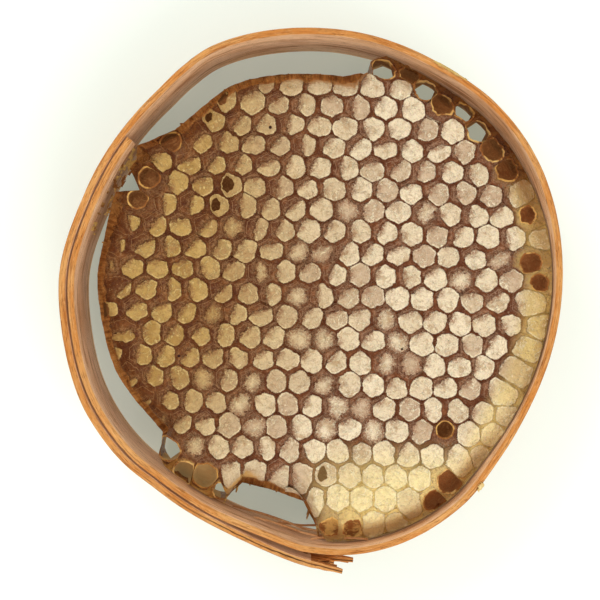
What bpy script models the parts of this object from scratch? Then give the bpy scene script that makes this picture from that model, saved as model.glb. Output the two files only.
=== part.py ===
"""A round piece of capped honeycomb, grown inside a hoop bent from one strip of wood.

The hoop lies flat, with +Z up and +Y towards the top of the round as it is seen from above.
Lengths are millimetres and angles are degrees, measured about the hoop's winding centre
and counterclockwise from +X. They become metres when a mesh is made.
"""

import math

import bmesh
import bpy
from mathutils import Vector

MM = 0.001

# The wooden strip: wound 1.36 turns, so that its two ends lap down the left side
STRIP_THICKNESS = 1.7
HOOP_HEIGHT = 32.0
EDGE_CHAMFER = 0.25
LAP_CLEARANCE = 0.35
LAP_SPREAD = 0.95
STRIP_START = 140.0
LAP_PARTS_AT = 245.0
LAP_END = 268.0
STRIP_END = 630.0
STRIP_STEP = 2.5

# Slow waves along the strip's split top edge: (height, waves per turn, lead in degrees)
EDGE_WAVES = ((0.22, 3.1, 0), (0.13, 7.7, 40))

# Radius of the strip's outer face along its last full turn: (angle, radius)
HOOP_KNOTS = (
    (268, 60.1), (280, 61.6), (292, 61.7), (305, 60.6), (318, 58.3), (330, 57.2), (345, 57.2),
    (360, 57.9), (376, 59.1), (392, 60.5), (406, 60.8), (420, 60.3), (438, 60.6), (455, 60.8),
    (472, 60.9), (480, 59.6), (488, 58.2), (502, 57.2), (519, 56.9), (535, 58.1), (550, 58.2),
    (566, 58.9), (582, 58.7), (592, 58.0), (607, 58.6), (617, 60.0), (628, 63.1), (634, 64.9),
)

# The strip's frayed outer end: (height where it starts, way it fans from the strip, length)
SPLINTERS = (
    (0.0, 6.0, 6.0),
    (5.5, 2.0, 9.5),
    (11.0, 9.0, 10.2),
    (17.5, 5.0, 5.6),
    (22.0, 8.0, 4.5),
    (27.0, 1.0, 7.5),
)
SPLINTER_TIP = 0.35
SPLINTER_INSET = 0.3
MERGE_WITHIN = 1e-5

# The comb, and how its rows of cells lie: a row's drop per mm to the right, a column's lean
# per mm upwards, and how the rows spread sideways and crowd together towards the top
CELL_PITCH = 5.8
LATTICE_SHIFT = (-3.16, -0.77)
ROW_TILT = -0.039
COLUMN_LEAN = -0.028
ROW_SPREAD = 0.0015
ROW_CROWDING = 0.0007
COMB_TOP = 30.2
COMB_BOTTOM = 0.9
COMB_CLEARANCE = 0.35
LATTICE_REACH = 21
VALLEY_DEPTH = 1.0
VALLEY_SCATTER = 0.3
CAP_SHARE = 0.73
CAP_SHIFT = (0.30, -0.28)
CAP_DOME = 0.35
CAP_LIFT = 0.25
UNDERSIDE_DOME = 0.5
CORNER_SCATTER = 0.30
OPEN_RIM_DROP = 0.25
OPEN_FLOOR_SHARE = 0.9
CELL_KEPT_WITHIN = 0.30
SNAP_REACH = 0.85
SLUMP_WIDTH = 9.0
WAVE_LENGTH = 38.0
WAVE_HEIGHT = 0.5
WAVE_LEAD = 1.0

# Free space between the comb's edge and the hoop: (angle, width)
GAP_KNOTS = (
    (0, 0), (74, 0), (78, 7.0), (92, 7.4), (108, 6.9), (120, 7.2), (130, 6.2), (140, 2.2), (153, 1.6),
    (166, 3.1), (182, 4.0), (201, 4.8), (210, 5.8), (218, 6.4), (224, 5.8), (228, 0), (247, 0),
    (250, 6.2), (260, 8.0), (268, 8.4), (273, 0), (360, 0),
)

# How far the comb's face falls at its edge: (angle, drop)
SLUMP_KNOTS = (
    (0, 1.5), (15, 4), (30, 13), (50, 17), (65, 15), (78, 7), (95, 4), (130, 4), (150, 5), (180, 3.5),
    (215, 6), (228, 11), (245, 11), (265, 5), (280, 9), (300, 7), (312, 7), (328, 1.5), (345, 1),
    (360, 1.5),
)

# Cells that were never capped, or were broken into: (x, y, share of the cell open, depth)
THROUGH = COMB_TOP
OPEN_CELLS = (
    (16.6, 51.6, 0.80, THROUGH),
    (23.0, 49.6, 0.80, 5.0),
    (27.0, 46.4, 0.82, THROUGH),
    (30.6, 43.6, 0.78, 5.0),
    (34.9, 41.6, 0.74, THROUGH),
    (38.0, 37.0, 0.82, THROUGH),
    (42.0, 33.0, 0.78, 5.0),
    (45.2, 29.3, 0.84, 4.5),
    (48.0, 18.9, 0.50, 3.5),
    (51.2, 5.5, 0.66, 3.5),
    (51.9, 1.2, 0.60, 3.5),
    (31.0, -30.8, 0.50, 4.0),
    (34.2, -43.1, 0.86, 4.5),
    (30.7, -47.0, 0.80, 4.5),
    (5.5, -55.0, 0.70, 2.5),
    (11.0, -56.5, 0.66, 2.5),
    (2.3, -44.6, 0.45, 5.0),
    (-20.5, -46.9, 0.80, THROUGH),
    (-25.0, -44.6, 0.80, 6.0),
    (-29.4, -42.6, 0.82, 6.0),
    (-34.2, -39.4, 0.82, THROUGH),
    (-47.8, -4.8, 0.56, 3.0),
    (-39.8, 21.9, 0.72, 3.0),
    (-36.6, 27.8, 0.74, 3.0),
    (-33.0, 32.9, 0.80, 3.5),
    (-22.3, 38.4, 0.34, 4.0),
    (-21.0, 44.2, 0.55, 3.0),
    (-17.3, 23.2, 0.56, 4.0),
    (-20.0, 19.1, 0.44, 4.0),
)

WAX = (0.55, 0.34, 0.12)
WOOD = (0.68, 0.37, 0.14)


def smooth_step(low, high, value):
    share = min(1.0, max(0.0, (value - low) / (high - low)))
    return share * share * (3.0 - 2.0 * share)


def curve_through(knots, at, rounded=True):
    """The value at a place on the curve through the knots, with straight runs if not rounded."""
    last = len(knots) - 1
    index = max(0, min(last - 1, sum(1 for place, _ in knots[1:] if place <= at)))
    (x0, y0), (x1, y1) = knots[index], knots[index + 1]
    width = x1 - x0
    share = (at - x0) / width
    if not rounded:
        return y0 + (y1 - y0) * share

    def slope(middle):
        before, after = knots[max(0, middle - 1)], knots[min(last, middle + 1)]
        return (after[1] - before[1]) / (after[0] - before[0])

    square, cube = share**2, share**3
    return (
        y0 * (2 * cube - 3 * square + 1)
        + y1 * (3 * square - 2 * cube)
        + width * slope(index) * (cube - 2 * square + share)
        + width * slope(index + 1) * (cube - square)
    )


def scatter(a, b, salt):
    """A repeatable value from -1 to 1 for a pair of whole numbers."""
    raw = math.sin(a * 127.1 + b * 311.7 + salt * 74.7) * 43758.5453
    return 2.0 * (raw - math.floor(raw)) - 1.0


def strip_face(turn):
    """Radius of the strip's outer face at an angle along its winding."""
    if turn >= LAP_END:
        return curve_through(HOOP_KNOTS, turn)
    spread = LAP_SPREAD * smooth_step(LAP_PARTS_AT, LAP_END, turn)
    return curve_through(HOOP_KNOTS, turn + 360) - STRIP_THICKNESS - LAP_CLEARANCE - spread


def hoop_inside(angle):
    """Radius of the hoop's inner wall."""
    turn = STRIP_START + (angle - STRIP_START) % 360
    return strip_face(turn) - STRIP_THICKNESS


def comb_reach(angle):
    """Radius that the comb's edge comes out to."""
    gap = curve_through(GAP_KNOTS, angle % 360, rounded=False)
    return hoop_inside(angle) - COMB_CLEARANCE - gap


def polar(radius, angle):
    return radius * math.cos(math.radians(angle)), radius * math.sin(math.radians(angle))


def radius_and_angle(x, y):
    return math.hypot(x, y), math.degrees(math.atan2(y, x)) % 360


def footprint_centre():
    """Middle of the hoop's outline, its frayed end included."""
    count = int((STRIP_END - STRIP_START) / STRIP_STEP)
    outline = [
        polar(strip_face(STRIP_START + step * STRIP_STEP), STRIP_START + step * STRIP_STEP)
        for step in range(count + 1)
    ]
    outline += [tip for tip, _ in splinter_tips()]
    xs, ys = zip(*outline)
    return (min(xs) + max(xs)) / 2, (min(ys) + max(ys)) / 2


def strip_end_heading():
    """Direction in which the strip runs out of its winding, in degrees."""
    before = polar(strip_face(STRIP_END - STRIP_STEP), STRIP_END - STRIP_STEP)
    last = polar(strip_face(STRIP_END), STRIP_END)
    return math.degrees(math.atan2(last[1] - before[1], last[0] - before[0]))


def splinter_tips():
    """The far corner of each splinter in plan, outer side and inner side."""
    root = polar(strip_face(STRIP_END), STRIP_END)
    tips = []
    for _, fan, length in SPLINTERS:
        heading = math.radians(strip_end_heading() + fan)
        inset = STRIP_THICKNESS * SPLINTER_INSET
        x = root[0] + length * math.cos(heading) - inset * math.sin(heading)
        y = root[1] + length * math.sin(heading) + inset * math.cos(heading)
        tips.append(((x, y), heading))
    return tips


def mesh_object(name, bm, colour, roughness, sharp_angle):
    """Finishes a bmesh drawn in millimetres as a named object with its own material."""
    bmesh.ops.recalc_face_normals(bm, faces=bm.faces)
    bmesh.ops.scale(bm, vec=Vector((MM, MM, MM)), verts=bm.verts)
    mesh = bpy.data.meshes.new(name)
    bm.to_mesh(mesh)
    bm.free()
    mesh.shade_smooth()
    mesh.set_sharp_from_angle(angle=math.radians(sharp_angle))
    material = bpy.data.materials.new(name)
    material.use_nodes = True
    shader = material.node_tree.nodes["Principled BSDF"]
    shader.inputs["Base Color"].default_value = (*colour, 1.0)
    shader.inputs["Roughness"].default_value = roughness
    shader.inputs["Metallic"].default_value = 0.0
    mesh.materials.append(material)
    made = bpy.data.objects.new(name, mesh)
    bpy.context.scene.collection.objects.link(made)
    return made


def top_edge(turn):
    """Height of the strip's top edge, which was split rather than sawn and so waves a little."""
    waves = (
        height * math.sin(math.radians(turn * count + lead)) for height, count, lead in EDGE_WAVES
    )
    return HOOP_HEIGHT + sum(waves)


def strip_section(bm, turn):
    """One ring of points round the strip: up its outer face, over the chamfered edge, down inside."""
    outer, inner = strip_face(turn), strip_face(turn) - STRIP_THICKNESS
    top = top_edge(turn)
    points = (
        (outer, 0.0),
        (outer, top - EDGE_CHAMFER),
        (outer - EDGE_CHAMFER, top),
        (inner + EDGE_CHAMFER, top),
        (inner, top - EDGE_CHAMFER),
        (inner, 0.0),
    )
    return [bm.verts.new((*polar(radius, turn), z)) for radius, z in points]


def splinter(bm, base, tip, heading, low, high):
    """A finger of split wood, from the end face's points to a narrow tip."""
    along = Vector((math.cos(heading), math.sin(heading), 0))
    across = Vector((-along.y, along.x, 0))
    middle_z = (low + high) / 2
    half_height = (high - low) * SPLINTER_TIP / 2
    half_width = STRIP_THICKNESS * SPLINTER_TIP / 2
    tip_points = []
    for corner in base:
        side = 1 if corner["inside"] else -1
        lift = 1 if corner["high"] else -1
        place = Vector((*tip, middle_z + lift * half_height)) + across * (side * half_width)
        tip_points.append(bm.verts.new(place))
    roots = [corner["vert"] for corner in base]
    count = len(roots)
    for here in range(count):
        there = (here + 1) % count
        bm.faces.new((roots[here], roots[there], tip_points[there], tip_points[here]))
    bm.faces.new(tip_points)


def build_hoop():
    bm = bmesh.new()
    count = int((STRIP_END - STRIP_START) / STRIP_STEP)
    rings = [strip_section(bm, STRIP_START + step * STRIP_STEP) for step in range(count + 1)]
    last = rings[-1]

    # The end face is split at the heights where the splinters part
    heights = [low for low, _, _ in SPLINTERS[1:]]
    outer, inner = strip_face(STRIP_END), strip_face(STRIP_END) - STRIP_THICKNESS
    outer_splits = [bm.verts.new((*polar(outer, STRIP_END), z)) for z in heights]
    inner_splits = [bm.verts.new((*polar(inner, STRIP_END), z)) for z in heights]

    size = len(last)
    for ring, following in zip(rings, rings[1:]):
        for here in range(size):
            there = (here + 1) % size
            corners = [ring[here], ring[there], following[there], following[here]]
            if following is last and here == 0:
                corners[3:3] = reversed(outer_splits)
            elif following is last and here == 4:
                corners[3:3] = inner_splits
            bm.faces.new(corners)
    bm.faces.new(rings[0])

    outer_line = [last[0], *outer_splits, last[1]]
    inner_line = [last[5], *inner_splits, last[4]]
    bounds = [0.0, *heights, HOOP_HEIGHT]
    for index, (tip, heading) in enumerate(splinter_tips()):
        base = [
            {"vert": outer_line[index], "inside": False, "high": False},
            {"vert": outer_line[index + 1], "inside": False, "high": True},
            {"vert": inner_line[index + 1], "inside": True, "high": True},
            {"vert": inner_line[index], "inside": True, "high": False},
        ]
        if index == len(SPLINTERS) - 1:
            base[2:2] = [
                {"vert": last[2], "inside": False, "high": True},
                {"vert": last[3], "inside": True, "high": True},
            ]
        splinter(bm, base, tip, heading, bounds[index], bounds[index + 1])
    # The top splinter's chamfer points meet at its tip
    bmesh.ops.remove_doubles(bm, verts=bm.verts, dist=MERGE_WITHIN)
    return mesh_object("hoop", bm, WOOD, roughness=0.6, sharp_angle=35)


# Corners of a cell as whole-number steps of half a pitch and a sixth of the row spacing
CORNER_STEPS = ((0, 2), (-1, 1), (-1, -1), (0, -2), (1, -1), (1, 1))


def lattice_point(column, row, jitter=True):
    """Place of a lattice point, whose rows bend and crowd a little as natural comb does."""
    along = column * CELL_PITCH / 2
    up = row * CELL_PITCH / (2 * math.sqrt(3))
    x = LATTICE_SHIFT[0] + along + COLUMN_LEAN * up + ROW_SPREAD * along * up
    y = LATTICE_SHIFT[1] + up + ROW_TILT * along - ROW_CROWDING * up * up
    if jitter:
        x += CORNER_SCATTER * scatter(column, row, 1)
        y += CORNER_SCATTER * scatter(column, row, 2)
    return x, y


def comb_cells():
    """Lattice steps of every cell whose middle lies well inside the comb's edge."""
    cells = []
    for row_number in range(-LATTICE_REACH, LATTICE_REACH + 1):
        for column_number in range(-LATTICE_REACH, LATTICE_REACH + 1):
            key = (2 * column_number + row_number % 2, 3 * row_number)
            radius, angle = radius_and_angle(*lattice_point(*key, jitter=False))
            if radius < comb_reach(angle) - CELL_KEPT_WITHIN * CELL_PITCH:
                cells.append(key)
    return cells


def cell_corners(cell):
    return [(cell[0] + step[0], cell[1] + step[1]) for step in CORNER_STEPS]


def corner_places(cells):
    """Plan position of each shared corner; those on the edge are drawn out to the comb's reach."""
    uses = {}
    for cell in cells:
        for corner in cell_corners(cell):
            uses[corner] = uses.get(corner, 0) + 1
    places = {}
    for corner, count in uses.items():
        x, y = lattice_point(*corner)
        radius, angle = radius_and_angle(x, y)
        reach = comb_reach(angle)
        if radius > reach or (count < 3 and reach - radius < SNAP_REACH * CELL_PITCH):
            x, y = polar(reach, angle)
        places[corner] = (x, y)
    return places


def face_height(x, y):
    """Height of the comb's upper face, before the relief of its cells."""
    radius, angle = radius_and_angle(x, y)
    drop = curve_through(SLUMP_KNOTS, angle, rounded=False)
    edge = 1 - smooth_step(0, SLUMP_WIDTH, comb_reach(angle) - radius)
    wave = math.sin(math.tau * x / WAVE_LENGTH + WAVE_LEAD) * math.cos(math.tau * y / WAVE_LENGTH)
    return COMB_TOP - drop * edge * edge + WAVE_HEIGHT * wave * (1 - edge)


def open_cells(cells):
    """The cells nearest to the places of the open ones, with how far each is open."""
    chosen = {}
    for x, y, share, depth in OPEN_CELLS:
        nearest = min(
            (cell for cell in cells if cell not in chosen),
            key=lambda cell: math.dist(lattice_point(*cell, jitter=False), (x, y)),
        )
        chosen[nearest] = (share, depth)
    return chosen


def middle_of(points):
    return sum(p[0] for p in points) / len(points), sum(p[1] for p in points) / len(points)


def ring_between(bm, outer, inner):
    """Joins two loops of as many points with a band of four-sided faces."""
    count = len(outer)
    for here in range(count):
        there = (here + 1) % count
        bm.faces.new((outer[here], outer[there], inner[there], inner[here]))


def loop_in(bm, corners, middle, share, shift, height):
    """A smaller copy of a cell's outline, at the height that a function gives."""
    loop = []
    for x, y in corners:
        place_x = middle[0] + (x - middle[0]) * share + shift[0]
        place_y = middle[1] + (y - middle[1]) * share + shift[1]
        loop.append(bm.verts.new((place_x, place_y, height(place_x, place_y))))
    return loop


def capped_cell(bm, cell, rim, corners, middle):
    """A wax cap that stands above the seams round it, set off to the side that has dried."""
    lift = CAP_LIFT * scatter(*cell, 3)
    cap = loop_in(
        bm, corners, middle, CAP_SHARE, CAP_SHIFT, lambda x, y: face_height(x, y) + lift
    )
    ring_between(bm, rim, cap)
    x, y = middle[0] + CAP_SHIFT[0], middle[1] + CAP_SHIFT[1]
    crown = bm.verts.new((x, y, face_height(x, y) + lift + CAP_DOME * (1 + scatter(*cell, 4))))
    for here in range(len(cap)):
        bm.faces.new((cap[here], cap[(here + 1) % len(cap)], crown))


def hollow_cell(bm, rim, low_rim, corners, middle, share, depth):
    """An open cell: a thin rim, straight walls, and a floor unless it goes right through."""
    mouth = loop_in(
        bm, corners, middle, share, (0, 0), lambda x, y: face_height(x, y) - OPEN_RIM_DROP
    )
    ring_between(bm, rim, mouth)
    if depth == THROUGH:
        floor = loop_in(bm, corners, middle, share, (0, 0), lambda x, y: COMB_BOTTOM)
        ring_between(bm, mouth, floor)
        ring_between(bm, floor, low_rim)
        return
    floor = loop_in(
        bm, corners, middle, share * OPEN_FLOOR_SHARE, (0, 0),
        lambda x, y: face_height(x, y) - depth,
    )
    ring_between(bm, mouth, floor)
    bm.faces.new(floor)


def edge_loop_of(cells):
    """Pairs of corners along the comb's edge: the sides that only one cell has."""
    sides = {}
    for cell in cells:
        corners = cell_corners(cell)
        for here, there in zip(corners, corners[1:] + corners[:1]):
            sides[(here, there)] = True
    return [side for side in sides if (side[1], side[0]) not in sides]


def build_comb():
    bm = bmesh.new()
    cells = comb_cells()
    places = corner_places(cells)
    opened = open_cells(cells)
    upper, lower = {}, {}
    for corner, (x, y) in places.items():
        valley = VALLEY_DEPTH * (1 + VALLEY_SCATTER * scatter(*corner, 5))
        upper[corner] = bm.verts.new((x, y, face_height(x, y) - valley))
        lower[corner] = bm.verts.new((x, y, COMB_BOTTOM + UNDERSIDE_DOME))

    for cell in cells:
        keys = cell_corners(cell)
        corners = [places[key] for key in keys]
        middle = middle_of(corners)
        rim = [upper[key] for key in keys]
        low_rim = [lower[key] for key in keys]
        share, depth = opened.get(cell, (None, None))
        if share is None:
            capped_cell(bm, cell, rim, corners, middle)
        else:
            hollow_cell(bm, rim, low_rim, corners, middle, share, depth)
        if depth != THROUGH:
            crown = bm.verts.new((*middle, COMB_BOTTOM))
            for here in range(len(low_rim)):
                bm.faces.new((low_rim[here], low_rim[(here + 1) % len(low_rim)], crown))

    for here, there in edge_loop_of(cells):
        bm.faces.new((upper[here], lower[here], lower[there], upper[there]))
    return mesh_object("comb", bm, WAX, roughness=0.45, sharp_angle=30)


def main():
    for old in list(bpy.data.objects):
        bpy.data.objects.remove(old)
    centre_x, centre_y = footprint_centre()
    for built in (build_hoop(), build_comb()):
        built.location = (-centre_x * MM, -centre_y * MM, 0)


main()
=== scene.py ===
# %% [markdown]
# A round of honeycomb in its wooden hoop.
# A thin strip of wood is bent into a hoop, and the comb in it is full of honey, with a wax cap
# on most of its cells. This lesson dresses the plain solids of that piece: first the camera
# and light, then the wood, then the wax.
# Lengths are drawn in millimetres about the hoop's winding centre, and placed in metres.

# %% Opening the frame
import math
import random
from types import SimpleNamespace

import bpy
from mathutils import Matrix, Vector, noise


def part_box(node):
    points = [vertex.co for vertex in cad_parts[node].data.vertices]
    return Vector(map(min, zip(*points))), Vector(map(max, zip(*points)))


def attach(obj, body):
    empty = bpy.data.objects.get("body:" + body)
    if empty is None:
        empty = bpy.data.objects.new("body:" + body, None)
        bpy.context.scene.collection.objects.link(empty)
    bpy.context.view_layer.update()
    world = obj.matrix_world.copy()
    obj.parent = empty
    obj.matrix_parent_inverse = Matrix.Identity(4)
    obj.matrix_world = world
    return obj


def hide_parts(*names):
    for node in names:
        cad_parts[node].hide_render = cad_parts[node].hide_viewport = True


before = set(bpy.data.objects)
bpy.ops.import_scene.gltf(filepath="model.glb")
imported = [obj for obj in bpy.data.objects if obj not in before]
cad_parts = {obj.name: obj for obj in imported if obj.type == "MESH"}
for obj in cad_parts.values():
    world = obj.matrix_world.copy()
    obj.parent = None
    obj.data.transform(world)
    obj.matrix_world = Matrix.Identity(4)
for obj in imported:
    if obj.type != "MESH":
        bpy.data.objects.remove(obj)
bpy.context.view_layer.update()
MM = 0.001

# %% [markdown]
# A few small tools come back in every step. One eases between two limits, so that nothing
# starts or stops abruptly, and one draws a smooth curve through a few measured places. Another
# gives a repeatable scatter, because a comb has no two cells alike, and a render must come out
# the same each time.


# %% Easing, curves and scatter
def smooth_step(low, high, value):
    share = min(1.0, max(0.0, (value - low) / (high - low)))
    return share * share * (3.0 - 2.0 * share)


def blend(first, second, share):
    return first + (second - first) * share


def curve_through(knots, at, rounded=True):
    last = len(knots) - 1
    index = max(0, min(last - 1, sum(1 for place, _ in knots[1:] if place <= at)))
    (x0, y0), (x1, y1) = knots[index], knots[index + 1]
    width = x1 - x0
    share = (at - x0) / width
    if not rounded:
        return y0 + (y1 - y0) * share

    def slope(middle):
        before, after = knots[max(0, middle - 1)], knots[min(last, middle + 1)]
        return (after[1] - before[1]) / (after[0] - before[0])

    square, cube = share**2, share**3
    return (
        y0 * (2 * cube - 3 * square + 1)
        + y1 * (3 * square - 2 * cube)
        + width * slope(index) * (cube - 2 * square + share)
        + width * slope(index + 1) * (cube - square)
    )


def scatter(a, b, salt):
    raw = math.sin(a * 127.1 + b * 311.7 + salt * 74.7) * 43758.5453
    return 2.0 * (raw - math.floor(raw)) - 1.0


def polar(radius, angle):
    return radius * math.cos(math.radians(angle)), radius * math.sin(math.radians(angle))


def radius_and_angle(x, y):
    return math.hypot(x, y), math.degrees(math.atan2(y, x)) % 360


def lumps(x, y, z, size):
    """Smooth noise from -1 to 1, whose lumps are about as large as size, in millimetres."""
    return noise.noise(Vector((x / size, y / size, z / size)))


print("scatter runs from", round(scatter(1, 2, 3), 3), "to", round(scatter(2, 1, 3), 3))

# %% [markdown]
# The strip of wood is wound a little over one and a third turns. Its inner end starts at the
# upper left, it runs counterclockwise once round the comb, and it laps over its own start down
# the left side. One curve of radius against angle describes the whole winding, and the hoop's
# inner wall and the comb's edge both follow from it.

# %% The line that the strip is wound on
STRIP_THICKNESS = 1.7
HOOP_HEIGHT = 32.0
LAP_CLEARANCE = 0.35
LAP_SPREAD = 0.95
STRIP_START = 140.0
LAP_PARTS_AT = 245.0
LAP_END = 268.0
STRIP_END = 630.0
HOOP_KNOTS = (
    (268, 60.1), (280, 61.6), (292, 61.7), (305, 60.6), (318, 58.3), (330, 57.2), (345, 57.2),
    (360, 57.9), (376, 59.1), (392, 60.5), (406, 60.8), (420, 60.3), (438, 60.6), (455, 60.8),
    (472, 60.9), (480, 59.6), (488, 58.2), (502, 57.2), (519, 56.9), (535, 58.1), (550, 58.2),
    (566, 58.9), (582, 58.7), (592, 58.0), (607, 58.6), (617, 60.0), (628, 63.1), (634, 64.9),
)


def strip_face(turn):
    """Radius of the strip's outer face at an angle along its winding."""
    if turn >= LAP_END:
        return curve_through(HOOP_KNOTS, turn)
    spread = LAP_SPREAD * smooth_step(LAP_PARTS_AT, LAP_END, turn)
    return curve_through(HOOP_KNOTS, turn + 360) - STRIP_THICKNESS - LAP_CLEARANCE - spread


def hoop_inside(angle):
    """Radius of the hoop's inner wall."""
    turn = STRIP_START + (angle - STRIP_START) % 360
    return strip_face(turn) - STRIP_THICKNESS


wound = [polar(strip_face(turn), turn) for turn in range(int(LAP_END), int(STRIP_END) + 1)]
hoop_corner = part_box("hoop")[1]
SHIFT_X = hoop_corner[0] / MM - max(x for x, _ in wound)
SHIFT_Y = hoop_corner[1] / MM - max(y for _, y in wound)
print("winding centre lies at", round(SHIFT_X, 2), round(SHIFT_Y, 2), "mm in the frame")


# %% [markdown]
# Everything is drawn as lists of points and faces, because the comb has hundreds of cells that
# follow one rule. Each point also carries a few named numbers, such as how dry its wax is. A
# material can read them, so that colour follows the shape without any picture.


# %% From points and faces to a piece
def new_piece(name, points, faces, values, sharp_angle):
    mesh = bpy.data.meshes.new(name)
    placed = [((x + SHIFT_X) * MM, (y + SHIFT_Y) * MM, z * MM) for x, y, z in points]
    mesh.from_pydata(placed, [], faces)
    for attribute, numbers in values.items():
        kind = "FLOAT_VECTOR" if isinstance(numbers[0], tuple) else "FLOAT"
        layer = mesh.attributes.new(attribute, kind, "POINT")
        if kind == "FLOAT":
            layer.data.foreach_set("value", numbers)
        else:
            layer.data.foreach_set("vector", [value for triple in numbers for value in triple])
    mesh.validate()
    mesh.shade_smooth()
    mesh.set_sharp_from_angle(angle=math.radians(sharp_angle))
    piece = bpy.data.objects.new(name, mesh)
    bpy.context.scene.collection.objects.link(piece)
    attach(piece, "root")
    print(name, len(points), "points", len(faces), "faces")
    return piece


# %% [markdown]
# The piece is looked at from straight above, by a camera close enough that the hoop's inner
# wall shows. The distance is a guess from how much of that wall shows. The colours are kept as
# they are mixed, without a film curve, so that wax and wood can be matched.

# %% Camera
CAMERA_ABOVE_RIM = 460.0
SEEN_WIDTH_AT_RIM = 138.0
AIM = (-2.53, -2.07)

camera_data = bpy.data.cameras.new("camera")
camera_data.sensor_fit = "HORIZONTAL"
camera_data.angle = 2 * math.atan(SEEN_WIDTH_AT_RIM / 2 / CAMERA_ABOVE_RIM)
camera_data.clip_start = 0.01
camera = bpy.data.objects.new("camera", camera_data)
camera.location = (
    (AIM[0] + SHIFT_X) * MM,
    (AIM[1] + SHIFT_Y) * MM,
    (HOOP_HEIGHT + CAMERA_ABOVE_RIM) * MM,
)
bpy.context.scene.collection.objects.link(camera)
bpy.context.scene.camera = camera
bpy.context.scene.view_settings.view_transform = "Standard"
print("field of view", round(math.degrees(camera_data.angle), 2), "degrees")


# %% [markdown]
# A studio for food is mostly soft light. One broad lamp stands high at the upper left, a
# larger and somewhat stronger one at the lower right, and a pale sky lifts the shadows. The
# floor is a pale matt sheet with a weak glow of its own, so that light also comes up between
# comb and hoop and through the empty cells. No lamp hangs right above, where wet wax would
# mirror it.

# %% Floor and lights
def node_material(name):
    material = bpy.data.materials.new(name)
    material.use_nodes = True
    return material, material.node_tree


FLOOR_COLOUR = (0.69, 0.73, 0.72, 1.0)
GLOW_COLOUR = (0.60, 0.72, 0.61, 1.0)
FLOOR_GLOW = 0.37
FLOOR_HALF = 3.0
SKY_COLOUR = (1.0, 0.985, 0.95, 1.0)
SKY_STRENGTH = 0.74
LAMPS = (
    ("key_light", (-0.45, 0.55, 0.75), 0.6, 4.4, (1.0, 0.97, 0.92)),
    ("fill_light", (0.35, -0.62, 0.72), 0.8, 6.2, (1.0, 0.99, 0.96)),
)
floor_mesh = bpy.data.meshes.new("floor")
floor_corners = [(-FLOOR_HALF, -FLOOR_HALF), (FLOOR_HALF, -FLOOR_HALF)]
floor_corners += [(FLOOR_HALF, FLOOR_HALF), (-FLOOR_HALF, FLOOR_HALF)]
floor_mesh.from_pydata([(x, y, 0.0) for x, y in floor_corners], [], [(0, 1, 2, 3)])
floor = bpy.data.objects.new("floor", floor_mesh)
bpy.context.scene.collection.objects.link(floor)
floor_paper, tree = node_material("floor_paper")
tree.nodes["Principled BSDF"].inputs["Base Color"].default_value = FLOOR_COLOUR
tree.nodes["Principled BSDF"].inputs["Roughness"].default_value = 0.8
tree.nodes["Principled BSDF"].inputs["Emission Color"].default_value = GLOW_COLOUR
tree.nodes["Principled BSDF"].inputs["Emission Strength"].default_value = FLOOR_GLOW
floor_mesh.materials.append(floor_paper)


def softbox(name, place, size, watts, colour):
    lamp_data = bpy.data.lights.new(name, "AREA")
    lamp_data.size = size
    lamp_data.energy = watts
    lamp_data.color = colour
    lamp = bpy.data.objects.new(name, lamp_data)
    lamp.location = place
    lamp.rotation_euler = (-Vector(place)).to_track_quat("-Z", "Y").to_euler()
    bpy.context.scene.collection.objects.link(lamp)


for lamp_settings in LAMPS:
    softbox(*lamp_settings)
sky = bpy.data.worlds.new("sky")
sky.use_nodes = True
sky.node_tree.nodes["Background"].inputs["Color"].default_value = SKY_COLOUR
sky.node_tree.nodes["Background"].inputs["Strength"].default_value = SKY_STRENGTH
bpy.context.scene.world = sky

# %% [markdown]
# The strip's faces are nearly smooth, its top edge is rough with torn grain, and its thickness
# wavers. It could be a curve with a bevel, but a swept section lets every ring waver on its
# own. Each point keeps its place in the uncurled board, along, across and up, so that the
# grain can follow the bend.

# %% Sweeping the strip
STRIP_STEP = 0.8
EDGE_WAVES = ((0.22, 3.1, 0), (0.13, 7.7, 40))
EDGE_ROUND = 0.28
FACE_LEVELS = (0.0, 0.35, 1.2, 4.0, 8.0, 12.0, 16.0, 20.0, 24.0, 28.0, 30.2, 31.2, 31.62)
EDGE_ACROSS = (0.12, 0.3, 0.5, 0.7, 0.88)
BOTTOM_ACROSS = (0.88, 0.5, 0.12)


def top_edge(turn):
    """Height of the strip's top edge, which wavers slowly, as in the solids."""
    waves = (
        height * math.sin(math.radians(turn * count + lead)) for height, count, lead in EDGE_WAVES
    )
    return HOOP_HEIGHT + sum(waves)


def strip_section(turn, run):
    """Points round the strip's section, as radius, height, share across and share inside."""
    outer = strip_face(turn)
    top = top_edge(turn)
    section = []
    for level in FACE_LEVELS:
        z = level * top / HOOP_HEIGHT
        swell = 0.07 * lumps(run, z * 3, 0, 9) + 0.03 * lumps(run, z * 9, 5, 3)
        section.append((outer + swell - 0.05, z, 0.0, 0.0))
    for share in EDGE_ACROSS:
        round_off = EDGE_ROUND * (abs(share - 0.5) * 2) ** 3
        torn = 0.20 * lumps(run * 0.5, share * 9, 3, 1) + 0.16 * lumps(run, share * 14, 8, 0.7)
        z = top - round_off + torn
        section.append((outer - STRIP_THICKNESS * share, z, share, 0.5))
    for level in reversed(FACE_LEVELS):
        z = level * top / HOOP_HEIGHT
        swell = 0.07 * lumps(run, z * 3, 30, 9)
        section.append((outer - STRIP_THICKNESS + swell + 0.05, z, 1.0, 1.0))
    for share in BOTTOM_ACROSS:
        torn = 0.08 * abs(lumps(run, share * 9, 13, 1.5))
        section.append((outer - STRIP_THICKNESS * share, torn, share, 0.5))
    return section


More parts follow.
